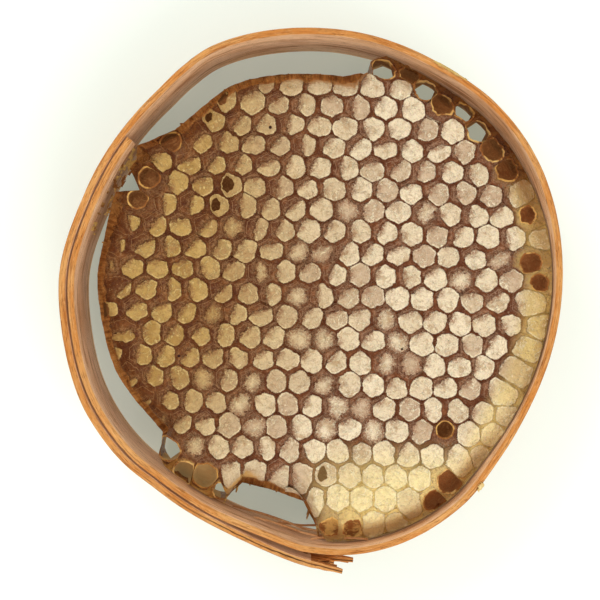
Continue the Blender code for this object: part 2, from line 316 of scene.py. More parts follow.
def swept_strip():
    points, faces, grain, inside = [], [], [], []
    count = int((STRIP_END - STRIP_START) / STRIP_STEP)
    run = 0.0
    for step in range(count + 1):
        turn = STRIP_START + step * (STRIP_END - STRIP_START) / count
        run += math.radians(STRIP_STEP) * strip_face(turn)
        for radius, z, across, inner in strip_section(turn, run):
            points.append((*polar(radius, turn), z))
            grain.append((run, across * STRIP_THICKNESS, z))
            inside.append(inner)
    size = len(points) // (count + 1)
    for step in range(count):
        for here in range(size):
            there = (here + 1) % size
            low, high = step * size, (step + 1) * size
            faces.append((low + here, low + there, high + there, high + here))
    faces.append(tuple(reversed(range(size))))
    faces.append(tuple(range(count * size, (count + 1) * size)))
    faces = [tuple(reversed(face)) for face in faces]
    return points, faces, grain, inside


strip_points, strip_faces, strip_grain, strip_inside = swept_strip()
STRIP_RUN = strip_grain[-1][0]
print("strip rings of", len(strip_section(200, 0)), "points,", len(strip_faces), "faces")

# %% [markdown]
# The strip's outer end looks broken and not cut: it frays into flat splinters that fan out at
# different heights. The largest follow the solids, and thinner ones go between them. Each one
# is a long wedge that starts inside the strip and ends in a blunt, torn tip.

# %% The frayed end
SPLINTERS = (
    (0.0, 6.0, 6.0), (5.5, 2.0, 9.5), (11.0, 9.0, 10.2),
    (17.5, 5.0, 5.6), (22.0, 8.0, 4.5), (27.0, 1.0, 7.5),
)
FIBRES = 16
SPLINTER_RINGS = 9
PEEL_RINGS = 24
PEELS = (
    (250, 281, 12.0, 1.6, 1.4), (256, 276, 17.0, 0.9, 0.9), (262, 288, 8.0, 1.1, 2.2),
    (270, 283, 21.0, 0.7, 1.0),
)
chance = random.Random(7)


def strip_end_heading():
    before = polar(strip_face(STRIP_END - 2.5), STRIP_END - 2.5)
    last = polar(strip_face(STRIP_END), STRIP_END)
    return math.degrees(math.atan2(last[1] - before[1], last[0] - before[0]))


def close_sliver(first, rings):
    """The faces of a sliver that is made of rings of four points, with both ends closed."""
    for a in range(first, first + rings * 4, 4):
        for here in range(4):
            there = (here + 1) % 4
            strip_faces.append((a + here, a + there, a + 4 + there, a + 4 + here))
    strip_faces.append((first + 3, first + 2, first + 1, first))
    last = first + rings * 4
    strip_faces.append((last, last + 1, last + 2, last + 3))


def add_splinter(low, high, fan, length, across, thickness, back, droop):
    """A torn wedge of wood between two heights, from inside the strip out to its tip."""
    first = len(strip_points)
    root = polar(strip_face(STRIP_END) - across, STRIP_END)
    for ring in range(SPLINTER_RINGS + 1):
        share = ring / SPLINTER_RINGS
        distance = -back + (length + back) * share
        bent = strip_end_heading() + fan * smooth_step(-back, length * 0.6, distance)
        heading = math.radians(bent)
        x = root[0] + distance * math.cos(heading)
        y = root[1] + distance * math.sin(heading)
        thin = 1.0 - 0.45 * share**1.6
        narrow = 1.0 - 0.55 * share**1.3
        middle = blend(low, high, 0.5) + droop * share * share
        half = (high - low) / 2 * narrow
        wobble = 0.12 * lumps(distance * 2, low, fan, 1.5)
        for side, lift in ((-1, -1), (-1, 1), (1, 1), (1, -1)):
            offset = side * thickness / 2 * thin + wobble
            ragged = 0.25 * half * lumps(distance * 3, side * 4, lift * 5 + low, 1.2)
            place_x = x - math.sin(heading) * offset
            place_y = y + math.cos(heading) * offset
            place_z = min(HOOP_HEIGHT + 0.2, max(0.02, middle + lift * half + ragged))
            strip_points.append((place_x, place_y, place_z))
            strip_grain.append((STRIP_RUN + distance, offset + across, middle + lift * half))
            strip_inside.append(0.35)
    close_sliver(first, SPLINTER_RINGS)


bounds_up = [low for low, _, _ in SPLINTERS[1:]] + [HOOP_HEIGHT]
for (low, fan, length), high in zip(SPLINTERS, bounds_up):
    add_splinter(low + 0.1, high - 0.1, fan, length, 0.85, 1.55, 2.0, 0.0)
for _ in range(FIBRES):
    low = chance.uniform(0.5, 30.6)
    add_splinter(
        low, low + chance.uniform(0.25, 1.3), chance.uniform(-2, 22), chance.uniform(2.5, 9),
        chance.uniform(0.2, 1.5), chance.uniform(0.3, 0.8), 3.0, chance.uniform(-0.8, 0.5),
    )


def add_peel(start, end, height, width, stand_off):
    """A thin sliver that has peeled away from the hoop's inner wall, pointed at both ends."""
    first = len(strip_points)
    for ring in range(PEEL_RINGS + 1):
        share = ring / PEEL_RINGS
        angle = blend(start, end, share)
        belly = math.sin(math.pi * share)
        inner = hoop_inside(angle) - 0.12 - stand_off * belly
        z = height + 1.5 * share + 0.4 * lumps(angle, height, 0, 5)
        half = width / 2 * (0.15 + 0.85 * belly)
        for side, lift in ((0, -1), (0, 1), (1, 1), (1, -1)):
            strip_points.append((*polar(inner - 0.45 * side, angle), z + lift * half))
            strip_grain.append((math.radians(angle) * inner, 0.5 * side, z + lift * half))
            strip_inside.append(0.75)
    close_sliver(first, PEEL_RINGS)


for start, end, height, width, stand_off in PEELS:
    add_peel(start, end, height, width, stand_off)
print("splinters and fibres", len(SPLINTERS) + FIBRES, "peels", len(PEELS))

# %% [markdown]
# Bare softwood is orange tan on its torn top edge and a plainer tan outside. Inside it is
# given a paler, pinkish colour, which comes out darker because it lies in shade. The strip is
# thin enough that some light comes through it, which a weak glow inside stands in for. The
# streaks are noise stretched along the board. Fine streaks also raise the surface, through a
# bump, because at this size the fibres are thinner than any mesh could hold.


# %% Wood
def attribute(tree, name):
    node = tree.nodes.new("ShaderNodeAttribute")
    node.attribute_name = name
    return node


def noise_texture(tree, vector, scale, detail=4.0, roughness=0.6, distortion=0.0):
    node = tree.nodes.new("ShaderNodeTexNoise")
    node.inputs["Scale"].default_value = scale
    node.inputs["Detail"].default_value = detail
    node.inputs["Roughness"].default_value = roughness
    node.inputs["Distortion"].default_value = distortion
    tree.links.new(vector, node.inputs["Vector"])
    return node.outputs["Fac"]


def stretched(tree, vector, amounts):
    node = tree.nodes.new("ShaderNodeVectorMath")
    node.operation = "MULTIPLY"
    node.inputs[1].default_value = amounts
    tree.links.new(vector, node.inputs[0])
    return node.outputs["Vector"]


def remap(tree, value, low, high, to_low=0.0, to_high=1.0):
    node = tree.nodes.new("ShaderNodeMapRange")
    node.interpolation_type = "SMOOTHSTEP"
    node.inputs["From Min"].default_value = low
    node.inputs["From Max"].default_value = high
    node.inputs["To Min"].default_value = to_low
    node.inputs["To Max"].default_value = to_high
    tree.links.new(value, node.inputs["Value"])
    return node.outputs["Result"]


def calculate(tree, operation, first, second, third=None):
    node = tree.nodes.new("ShaderNodeMath")
    node.operation = operation
    for socket, value in zip(node.inputs, (first, second, third)):
        if isinstance(value, (int, float)):
            socket.default_value = value
        elif value is not None:
            tree.links.new(value, socket)
    return node.outputs["Value"]


def srgb(red, green, blue):
    """A colour as seen on a screen, from 0 to 255, as the linear one that a shader takes."""
    linear = []
    for channel in (red, green, blue):
        share = channel / 255
        linear.append(share / 12.92 if share <= 0.04045 else ((share + 0.055) / 1.055) ** 2.4)
    return (*linear, 1.0)


def mix_colour(tree, factor, first, second, mode="MIX"):
    node = tree.nodes.new("ShaderNodeMix")
    node.data_type = "RGBA"
    node.blend_type = mode
    sockets = (node.inputs["Factor"], node.inputs[6], node.inputs[7])
    for socket, value in zip(sockets, (factor, first, second)):
        if isinstance(value, (int, float, tuple)):
            socket.default_value = value
        else:
            tree.links.new(value, socket)
    return node.outputs[2]


def bump(tree, height, distance, strength, under=None):
    node = tree.nodes.new("ShaderNodeBump")
    node.inputs["Distance"].default_value = distance
    node.inputs["Strength"].default_value = strength
    tree.links.new(height, node.inputs["Height"])
    if under is not None:
        tree.links.new(under, node.inputs["Normal"])
    return node.outputs["Normal"]


INNER_GLOW = 0.16


def wood_finish():
    material, tree = node_material("split_wood")
    shader = tree.nodes["Principled BSDF"]
    board = attribute(tree, "grain").outputs["Vector"]
    inner = attribute(tree, "inside").outputs["Fac"]
    axes = tree.nodes.new("ShaderNodeSeparateXYZ")
    tree.links.new(board, axes.inputs["Vector"])
    broad = noise_texture(tree, stretched(tree, board, (0.07, 2.2, 0.5)), 1.0)
    fine = noise_texture(tree, stretched(tree, board, (0.32, 6.0, 4.0)), 1.0)
    patch = noise_texture(tree, stretched(tree, board, (0.06, 0.3, 0.09)), 1.0)
    edge = mix_colour(tree, remap(tree, patch, 0.35, 0.65), srgb(206, 132, 62), srgb(222, 164, 98))
    stained = mix_colour(
        tree, remap(tree, patch, 0.3, 0.7), srgb(214, 164, 118), srgb(238, 198, 158)
    )
    planed = mix_colour(tree, remap(tree, patch, 0.3, 0.7), srgb(196, 132, 74), srgb(214, 158, 102))
    outward = mix_colour(tree, remap(tree, inner, 0.05, 0.45), planed, edge)
    base = mix_colour(tree, remap(tree, inner, 0.55, 0.95), outward, stained)
    dark_streak = remap(tree, broad, 0.50, 0.66, 0.0, 0.7)
    base = mix_colour(tree, dark_streak, base, srgb(158, 92, 42))
    pale_streak = remap(tree, fine, 0.56, 0.70, 0.0, 0.75)
    base = mix_colour(tree, pale_streak, base, srgb(240, 192, 134))
    thin_line = remap(tree, fine, 0.44, 0.33, 0.0, 0.85)
    base = mix_colour(tree, thin_line, base, srgb(128, 68, 28))
    cracked = remap(tree, axes.outputs["X"], STRIP_RUN - 46, STRIP_RUN - 20)
    wander = calculate(tree, "MULTIPLY_ADD", patch, 1.3, 0.2)
    from_crack = calculate(tree, "SUBTRACT", axes.outputs["Y"], wander)
    from_crack = calculate(tree, "ABSOLUTE", from_crack, 0.0)
    crack = remap(tree, from_crack, 0.20, 0.05, 0.0, 0.9)
    crack = calculate(tree, "MULTIPLY", crack, cracked)
    base = mix_colour(tree, crack, base, srgb(70, 34, 14))
    tree.links.new(base, shader.inputs["Base Color"])
    tree.links.new(remap(tree, inner, 0.5, 1.0, 0.78, 0.68), shader.inputs["Roughness"])
    tree.links.new(base, shader.inputs["Emission Color"])
    tree.links.new(
        remap(tree, inner, 0.6, 0.95, 0.0, INNER_GLOW), shader.inputs["Emission Strength"]
    )
    shader.inputs["Specular IOR Level"].default_value = 0.15
    tree.links.new(bump(tree, fine, 0.0005, 0.9), shader.inputs["Normal"])
    return material


wood = wood_finish()
strip_values = {"grain": strip_grain, "inside": strip_inside}
hoop_wood = new_piece("hoop_wood", strip_points, strip_faces, strip_values, 50)
hoop_wood.data.materials.append(wood)
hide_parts("hoop")

# %% [markdown]
# Bees build in rows of hexagons, and these rows tilt and spread a little. Whole numbers name
# each corner of the lattice, so that neighbours share their corners exactly. The rules below
# are the ones that the solids follow: how the rows lie, how far the comb comes out to the hoop
# at each angle, where it leaves a gap, and how its face falls away at the edge.

# %% The lattice of cells and the comb's edge
CELL_PITCH = 5.8
LATTICE_SHIFT = (-3.16, -0.77)
ROW_TILT = -0.039
COLUMN_LEAN = -0.028
ROW_SPREAD = 0.0015
ROW_CROWDING = 0.0007
CORNER_SCATTER = 0.30
COMB_TOP = 30.2
COMB_BOTTOM = 0.9
COMB_CLEARANCE = 0.35
CELL_KEPT_WITHIN = 0.30
SNAP_REACH = 0.85
SLUMP_WIDTH = 9.0
WAVE_LENGTH = 38.0
WAVE_HEIGHT = 0.5
WAVE_LEAD = 1.0
LATTICE_REACH = 21
GAP_KNOTS = (
    (0, 0), (74, 0), (78, 7.0), (92, 7.4), (108, 6.9), (120, 7.2), (130, 6.2), (140, 2.2), (153, 1.6),
    (166, 3.1), (182, 4.0), (201, 4.8), (210, 5.8), (218, 6.4), (224, 5.8), (228, 0), (247, 0),
    (250, 6.2), (260, 8.0), (268, 8.4), (273, 0), (360, 0),
)
SLUMP_KNOTS = (
    (0, 1.5), (15, 4), (30, 13), (50, 17), (65, 15), (78, 7), (95, 4), (130, 4), (150, 5), (180, 3.5),
    (215, 6), (228, 11), (245, 11), (265, 5), (280, 9), (300, 7), (312, 7), (328, 1.5), (345, 1),
    (360, 1.5),
)
CORNER_STEPS = ((0, 2), (-1, 1), (-1, -1), (0, -2), (1, -1), (1, 1))


def comb_reach(angle):
    gap = curve_through(GAP_KNOTS, angle % 360, rounded=False)
    return hoop_inside(angle) - COMB_CLEARANCE - gap


def lattice_point(column, row, jitter=True):
    along = column * CELL_PITCH / 2
    up = row * CELL_PITCH / (2 * math.sqrt(3))
    x = LATTICE_SHIFT[0] + along + COLUMN_LEAN * up + ROW_SPREAD * along * up
    y = LATTICE_SHIFT[1] + up + ROW_TILT * along - ROW_CROWDING * up * up
    if jitter:
        x += CORNER_SCATTER * scatter(column, row, 1)
        y += CORNER_SCATTER * scatter(column, row, 2)
    return x, y


def face_height(x, y):
    radius, angle = radius_and_angle(x, y)
    drop = curve_through(SLUMP_KNOTS, angle, rounded=False)
    edge = 1 - smooth_step(0, SLUMP_WIDTH, comb_reach(angle) - radius)
    wave = math.sin(math.tau * x / WAVE_LENGTH + WAVE_LEAD) * math.cos(math.tau * y / WAVE_LENGTH)
    return COMB_TOP - drop * edge * edge + WAVE_HEIGHT * wave * (1 - edge)


def cell_corners(cell):
    return [(cell[0] + step[0], cell[1] + step[1]) for step in CORNER_STEPS]


def comb_cells():
    cells = []
    for row_number in range(-LATTICE_REACH, LATTICE_REACH + 1):
        for column_number in range(-LATTICE_REACH, LATTICE_REACH + 1):
            key = (2 * column_number + row_number % 2, 3 * row_number)
            radius, angle = radius_and_angle(*lattice_point(*key, jitter=False))
            if radius < comb_reach(angle) - CELL_KEPT_WITHIN * CELL_PITCH:
                cells.append(key)
    return cells


def corner_places(cells):
    uses = {}
    for cell in cells:
        for corner in cell_corners(cell):
            uses[corner] = uses.get(corner, 0) + 1
    places = {}
    for corner, count in uses.items():
        x, y = lattice_point(*corner)
        radius, angle = radius_and_angle(x, y)
        reach = comb_reach(angle)
        if radius > reach or (count < 3 and reach - radius < SNAP_REACH * CELL_PITCH):
            x, y = polar(reach, angle)
        places[corner] = (x, y)
    return places


cells = comb_cells()
places = corner_places(cells)
print("cells", len(cells), "corners", len(places))

# %% [markdown]
# Some cells along the edge are open, and some caps further in are broken. Each is listed by
# where it lies, how wide it is open and how deep, and many are a little wider here than in the
# solids. The depths are guessed. The nearest cell of the lattice then takes that opening.

# %% Open cells
THROUGH = COMB_TOP
SHALLOW = 2.5
OPEN_CELLS = (
    (16.6, 51.6, 0.88, THROUGH),
    (23.0, 49.6, 0.86, 5.0),
    (27.0, 46.4, 0.90, THROUGH),
    (30.6, 43.6, 0.84, 5.0),
    (34.9, 41.6, 0.80, THROUGH),
    (38.0, 37.0, 0.88, THROUGH),
    (42.0, 33.0, 0.86, 5.0),
    (45.2, 29.3, 0.88, 4.5),
    (48.0, 18.9, 0.62, 3.5),
    (51.2, 5.5, 0.74, 3.5),
    (51.9, 1.2, 0.62, 3.5),
    (31.0, -30.8, 0.66, 4.0),
    (34.2, -43.1, 0.90, 4.5),
    (30.7, -47.0, 0.84, 4.5),
    (5.5, -55.0, 0.70, SHALLOW),
    (11.0, -56.5, 0.66, SHALLOW),
    (2.3, -44.6, 0.45, 5.0),
    (-20.5, -46.9, 0.88, THROUGH),
    (-25.0, -44.6, 0.94, 6.0),
    (-29.4, -42.6, 0.94, 6.0),
    (-34.2, -39.4, 0.88, THROUGH),
    (-47.8, -4.8, 0.56, 3.0),
    (-39.8, 21.9, 0.72, 3.0),
    (-36.6, 27.8, 0.74, 3.0),
    (-33.0, 32.9, 0.80, 3.5),
    (-22.3, 38.4, 0.34, 4.0),
    (-21.0, 44.2, 0.55, 3.0),
    (-17.3, 23.2, 0.56, 4.0),
    (-20.0, 19.1, 0.44, 4.0),
)


def open_cells(cells):
    chosen = {}
    for x, y, share, depth in OPEN_CELLS:
        nearest = min(
            (cell for cell in cells if cell not in chosen),
            key=lambda cell: math.dist(lattice_point(*cell, jitter=False), (x, y)),
        )
        chosen[nearest] = (share, depth, (x, y))
    return chosen


opened = open_cells(cells)
print("open cells", len(opened))

# %% [markdown]
# A cap is dry and pale where air lies under the wax, and dark and wet where honey touches it.
# Each cap is dry out to its seam on the lower right, where it ends in a crisp lip. From the
# upper left the honey has crept in under it, about a quarter of the way on the left of the
# comb and hardly at all on the right. Along the left rim the caps are nearly drowned, and
# along the lower right rim they run together into yellow wax. Next to the wood, and where the
# comb has slumped, all turns amber.

# %% How each cap looks
GAP_LEFT = 0.30
GAP_RIGHT = 0.24
GAP_SCATTER = 0.60
LEAST_GAP = 0.05
CORNER_ROUNDING = 0.8
LOW_PALENESS = 0.75
LOW_FROM = -8.0
DRY_REACH_LEFT = 1.35
DRY_REACH_RIGHT = 2.55
DRY_REACH_SCATTER = 1.1
LOW_REACH = 0.6
LEAST_REACH = -1.5
WET_DIRECTION = 150.0
WET_SCATTER = 48.0
TORN_WIDTH = 3.2
TORN_DROP = 5.5


def inward_distance(x, y):
    radius, angle = radius_and_angle(x, y)
    return comb_reach(angle) - radius


def torn_share(x, y):
    """1 at the comb's edge where it stands free of the hoop, falling to 0 further in."""
    radius, angle = radius_and_angle(x, y)
    gap = curve_through(GAP_KNOTS, angle % 360, rounded=False)
    if gap < 1.2:
        return 0.0
    inward = comb_reach(angle) - radius + 0.9 * lumps(x, y, 60, 3.0)
    return smooth_step(1.2, 3.5, gap) * smooth_step(TORN_WIDTH, 0.9, inward)


def amber_share(x, y):
    """1 where the comb meets the wood, falling to 0 further in."""
    radius, angle = radius_and_angle(x, y)
    gap = curve_through(GAP_KNOTS, angle % 360, rounded=False)
    inward = comb_reach(angle) - radius + 1.3 * lumps(x, y, 70, 4.0)
    soaked = smooth_step(4.0, 1.0, gap) * smooth_step(4.2, 0.6, inward)
    soaked *= 1 - 0.95 * yellow_share(x, y)
    slumped = 0.95 * smooth_step(1.0, 4.5, COMB_TOP - face_height(x, y) + lumps(x, y, 71, 3.0))
    slumped *= 1 - 0.85 * yellow_share(x, y)
    low_left = smooth_step(-32, -38, y) * smooth_step(-8, -16, x)
    return max(soaked, slumped * max(smooth_step(0, 20, x + y), low_left))


def surface_height(x, y):
    return face_height(x, y) - TORN_DROP * torn_share(x, y) ** 2


def yellow_share(x, y):
    """How far the wax runs together in yellow, along the lower right rim."""
    low = smooth_step(-33, -46, y) * smooth_step(-6, 12, x)
    rim = smooth_step(8.5, 4.0, inward_distance(x, y))
    rim *= smooth_step(24, 40, x) * smooth_step(32, 20, y)
    return max(low, 0.9 * rim)


def rightward(x, y):
    """How far the caps are pale and nearly dry, which grows to the right and downwards."""
    return smooth_step(-32, 28, x + LOW_PALENESS * max(0.0, LOW_FROM - y))


def drowned_share(x, y):
    return smooth_step(-12, -30, x) * smooth_step(9.0, 3.5, inward_distance(x, y))


def seam_gap(x, y):
    """Width of the wet line between a cap and its seam, below 0 where caps run together."""
    gap = blend(GAP_LEFT, GAP_RIGHT, rightward(x, y)) + GAP_SCATTER * lumps(x, y, 50, 4.0)
    gap += 0.7 * drowned_share(x, y)
    return blend(gap, 0.04 + 0.3 * lumps(x, y, 52, 3.0), 0.9 * yellow_share(x, y))


def cell_style(cell, middle):
    """Chance choices of one cell: how far it is dry, its wet side, tone and streaks."""
    yellow = yellow_share(*middle)
    right = rightward(*middle)
    dry_reach = blend(DRY_REACH_LEFT, DRY_REACH_RIGHT, right) + DRY_REACH_SCATTER * scatter(*cell, 11)
    dry_reach += 1.5 * yellow - 2.0 * drowned_share(*middle)
    dry_reach += LOW_REACH * smooth_step(-5, -30, middle[1])
    streaked = 1.0 if scatter(*cell, 17) > 0.78 and yellow < 0.3 else 0.0
    return {
        "dry_reach": max(LEAST_REACH, dry_reach),
        "direction": math.radians(WET_DIRECTION + WET_SCATTER * scatter(*cell, 12)),
        "fray": blend(0.60, 0.50, right) * (1 - 0.6 * yellow) + 0.4 * streaked,
        "streaked": streaked,
        "tone": 0.5 + 0.5 * scatter(*cell, 13),
        "dome": 0.20 + 0.14 * scatter(*cell, 15),
        "yellow": yellow,
    }


print("yellow at the lower right", round(yellow_share(25, -50), 2), "left", yellow_share(-30, 0))

# %% [markdown]
# The comb is one closed skin. Its upper face is made of rings: the outermost ring of a cell
# lies on the sides that it shares with its neighbours, and the inner rings close in on the
# outline of the dry part, so that the relief and the colour change along the same line.

# %% Points that the cells share
SIDE_STEPS = 5
UNDER_STEPS = 2
WET_SINK = 0.42
WIDE_GAP = 0.7
UNDER_SEAM = 0.45
FINISH = {
    "dry": 0.0, "fray": 0.3, "wall": 1.0, "tone": 0.5,
    "hollow": 0.0, "depth": 0.0, "yellow": 0.0, "torn": 0.0, "amber": 0.0,
}
comb_points, comb_faces = [], []
comb_values = {name: [] for name in FINISH}


def comb_point(x, y, z, **finish):
    comb_points.append((x, y, z))
    for name, usual in FINISH.items():
        comb_values[name].append(finish.get(name, usual))
    return len(comb_points) - 1


def near_edges(x, y):
    """What a point of the upper face takes from its place in the comb."""
    return {"yellow": yellow_share(x, y), "torn": torn_share(x, y), "amber": amber_share(x, y)}


def seam_point(x, y, above):
    if not above:
        return comb_point(x, y, COMB_BOTTOM + UNDER_SEAM, dry=-0.3, wall=0.0)
    gap = seam_gap(x, y)
    sunk = blend(0.06, WET_SINK, smooth_step(0.0, WIDE_GAP, gap)) * (1 + 0.4 * lumps(x, y, 4, 3))
    return comb_point(x, y, surface_height(x, y) - sunk, dry=-gap, wall=0.0, **near_edges(x, y))


def side_points(start, end, steps, above, made):
    """Points along a side that two cells share, made once and read in either direction."""
    key = (min(start, end), max(start, end), above)
    if key not in made:
        (x0, y0), (x1, y1) = places[key[0]], places[key[1]]
        line = []
        for step in range(steps + 1):
            share = step / steps
            x, y = blend(x0, x1, share), blend(y0, y1, share)
            if step in (0, steps):
                corner = (key[0] if step == 0 else key[1], above)
                if corner not in made:
                    made[corner] = seam_point(x, y, above)
                line.append(made[corner])
                continue
            stray = 0.16 * math.sin(math.pi * share)
            x += stray * lumps(x, y, 1, 1.6)
            y += stray * lumps(x, y, 2, 1.6)
            line.append(seam_point(x, y, above))
        made[key] = line
    line = made[key]
    return line if start == key[0] else line[::-1]


def cell_ring(cell, steps, above, made):
    """The closed ring of points round a cell, counterclockwise."""
    keys = cell_corners(cell)
    ring = []
    for start, end in zip(keys, keys[1:] + keys[:1]):
        ring += side_points(start, end, steps, above, made)[:-1]
    return ring


def band(outer, inner):
    count = len(outer)
    for here in range(count):
        there = (here + 1) % count
        comb_faces.append((outer[here], outer[there], inner[there], inner[here]))


def fan(ring, centre):
    for here in range(len(ring)):
        comb_faces.append((ring[here], ring[(here + 1) % len(ring)], centre))


def zip_lines(upper, lower):
    """Joins two lines of points that run the same way but differ in how many they have."""
    a = b = 0
    last_a, last_b = len(upper) - 1, len(lower) - 1
    while a < last_a or b < last_b:
        if b == last_b or (a < last_a and (a + 1) / last_a <= (b + 1) / last_b):
            comb_faces.append((upper[a], lower[b], upper[a + 1]))
            a += 1
        else:
            comb_faces.append((upper[a], lower[b], lower[b + 1]))
            b += 1


made = {}
print("a cell's upper ring has", len(cell_ring(cells[0], SIDE_STEPS, True, made)), "points")

# %% [markdown]
# A capped cell sinks from the seam into a wet hollow, climbs a soft shoulder onto its dry part
# and domes over it. The number called dry is the distance in millimetres to the dry part's
# outline, and fray says how far the streaks may eat into it, so the material can draw that
# outline far more finely than the mesh does.

# %% Capped cells
SHOULDER = (-0.22, 0.30)
RINGS_OUTSIDE = (0.14, 0.38, 0.68, 0.92)
RINGS_INSIDE = (0.07, 0.26, 0.52, 0.78)
CUT_SHARPNESS = 3.2


def middle_of(corners):
    count = len(corners)
    return sum(x for x, _ in corners) / count, sum(y for _, y in corners) / count


def dry_outline(seam, middle, style):
    """The dry part's outline, as places and how wet the side is that each one faces."""
    wet_x, wet_y = math.cos(style["direction"]), math.sin(style["direction"])
    spans = [math.dist(place, middle) for place in seam]
    mean = sum(spans) / len(spans)
    crisp_reach = mean - 0.3
    offset = (style["dry_reach"] - crisp_reach) / 2
    half = (style["dry_reach"] + crisp_reach) / 2
    core_x, core_y = middle[0] + offset * wet_x, middle[1] + offset * wet_y
    outline = []
    for (x, y), span in zip(seam, spans):
        gap = max(LEAST_GAP, seam_gap(x, y)) + CORNER_ROUNDING * max(0.0, span - mean)
        keep = max(0.25, 1 - gap / span)
        out_x = middle[0] + (x - middle[0]) * keep - core_x
        out_y = middle[1] + (y - middle[1]) * keep - core_y
        wetward = max(0.0, (out_x * wet_x + out_y * wet_y) / half)
        cut = (1 + wetward**CUT_SHARPNESS) ** (-1 / CUT_SHARPNESS)
        cut *= 1.02 + 0.14 * lumps(x, y, 9, 1.2) + 0.12 * lumps(x, y, 10, 2.6)
        cut = min(1.0, cut)
        outline.append((core_x + out_x * cut, core_y + out_y * cut, smooth_step(0.45, 1.1, wetward)))
    return outline


def cap_point(x, y, dry, wall, fray, sink, style):
    lift = smooth_step(*SHOULDER, dry)
    wrinkle = 0.10 * lumps(x, y, 7, 1.1) + 0.22 * lumps(x, y, 17, 3.2)
    wrinkle += style["yellow"] * 0.35 * lumps(x, y, 27, 2.0)
    swollen = 0.10 * smooth_step(0, 1.2, wall) * (1 - lift)
    z = surface_height(x, y) - sink * (1 - lift) + style["dome"] * smooth_step(0.2, 2.2, dry)
    told = {"dry": dry, "wall": wall, "fray": fray, "tone": style["tone"]}
    return comb_point(x, y, z + wrinkle + swollen, **told, **near_edges(x, y))


def cap_to_outline(cell, middle, style):
    """The rings from a cell's seam in to the outline of its dry part."""
    ring = cell_ring(cell, SIDE_STEPS, True, made)
    seam = [comb_points[p][:2] for p in ring]
    outline = dry_outline(seam, middle, style)
    frays = [style["fray"] * max(style["streaked"], wet) + 0.08 for _, _, wet in outline]
    sinks = [
        WET_SINK * smooth_step(0.0, WIDE_GAP, math.dist(place, (x, y)))
        for place, (x, y, _) in zip(seam, outline)
    ]
    outer = ring
    for share in RINGS_OUTSIDE:
        inner = []
        for (x0, y0), (x1, y1, _), fray, sink in zip(seam, outline, frays, sinks):
            span = math.dist((x0, y0), (x1, y1))
            x, y = blend(x0, x1, share), blend(y0, y1, share)
            inner.append(cap_point(x, y, (share - 1) * span, share * span, fray, sink, style))
        band(outer, inner)
        outer = inner
    return outline, frays, sinks, outer


def capped_cell(cell):
    middle = middle_of([places[key] for key in cell_corners(cell)])
    style = cell_style(cell, middle)
    outline, frays, sinks, outer = cap_to_outline(cell, middle, style)
    centre = middle_of([(x, y) for x, y, _ in outline])
    for share in RINGS_INSIDE:
        inner = []
        for (x1, y1, _), fray, sink in zip(outline, frays, sinks):
            dry = share * math.dist((x1, y1), centre)
            x, y = blend(x1, centre[0], share), blend(y1, centre[1], share)
            inner.append(cap_point(x, y, dry, 1.0, fray, sink, style))
        band(outer, inner)
        outer = inner
    dry = sum(math.dist((x, y), centre) for x, y, _ in outline) / len(outline)
    fan(outer, cap_point(*centre, dry, 1.0, 0.2, 0.0, style))


for cell in cells:
    if cell not in opened:
        capped_cell(cell)
print("upper face", len(comb_faces), "faces")

# %% [markdown]
# An open cell has a thin golden lip of uneven height, and inside it amber walls that lead down
# to a floor of honey or right through. Its mouth is round, because bees thicken a cell's rim
# into a ring. A cap that is only broken keeps its wax round a torn hole, taller than wide, a
# little to the left of its middle.

# %% Open cells with their walls
MOUTH_ROUNDNESS = 0.8
EVEN_MOUTH = 0.08
MOUTH_RAGGED = 0.20
LOW_MOUTH_RAGGED = 0.3
WIDEST_MOUTH = CELL_PITCH * 0.58
BROKEN_CAP = 0.58
BROKEN_REACH = 1.9
HOLE_WIDENING = 1.25
HOLE_DIRECTION = 172.0
LOW_MOUTH_SHIFT = 0.8
LOW_MOUTH_WIDENING = 1.14
MOUTH_SHIFT = 0.9
# Depth at which the painted shade inside an open cell is darkest.
FLOOR_SHADE_DEPTH = 9.0
LIT_DEPTH = 20.0
WALL_DEPTHS = (0.7, 2.4, 5.5)
LIPS = ((0.17, 0.20, 0.0), (0.09, -0.16, 0.55), (0.0, 0.06, 0.9))
HOLE_RINGS = (0.10, 0.35, 0.7, 0.95)
HOLE_FALLS = (0.35, 1.2)


def mouth_ring(ring, middle, share, fall, rise, **finish):
    points = []
    ragged = blend(EVEN_MOUTH, MOUTH_RAGGED, smooth_step(-5, 20, sum(middle)))
    ragged = blend(ragged, LOW_MOUTH_RAGGED, smooth_step(-48, -53, middle[1]))
    spans = [math.dist(comb_points[p][:2], middle) for p in ring]
    mean = sum(min(span, WIDEST_MOUTH) for span in spans) / len(spans)
    for p, span in zip(ring, spans):
        x, y, _ = comb_points[p]
        radius = min(0.97 * span, share * blend(min(span, WIDEST_MOUTH), mean, MOUTH_ROUNDNESS))
        radius *= 1 + ragged * lumps(x, y, fall * 0.3, 1.6)
        place_x = middle[0] + (x - middle[0]) / span * radius
        place_y = middle[1] + (y - middle[1]) / span * radius
        z = surface_height(place_x, place_y) - fall + rise * lumps(x, y, 21, 2.2)
        points.append(comb_point(place_x, place_y, z, **finish))
    return points


def shifted(middle, place):
    """A cell's middle, moved towards the place where its mouth was measured, within limits."""
    away = math.dist(middle, place)
    share = min(1.0, MOUTH_SHIFT / max(away, 0.01))
    return blend(middle[0], place[0], share), blend(middle[1], place[1], share)


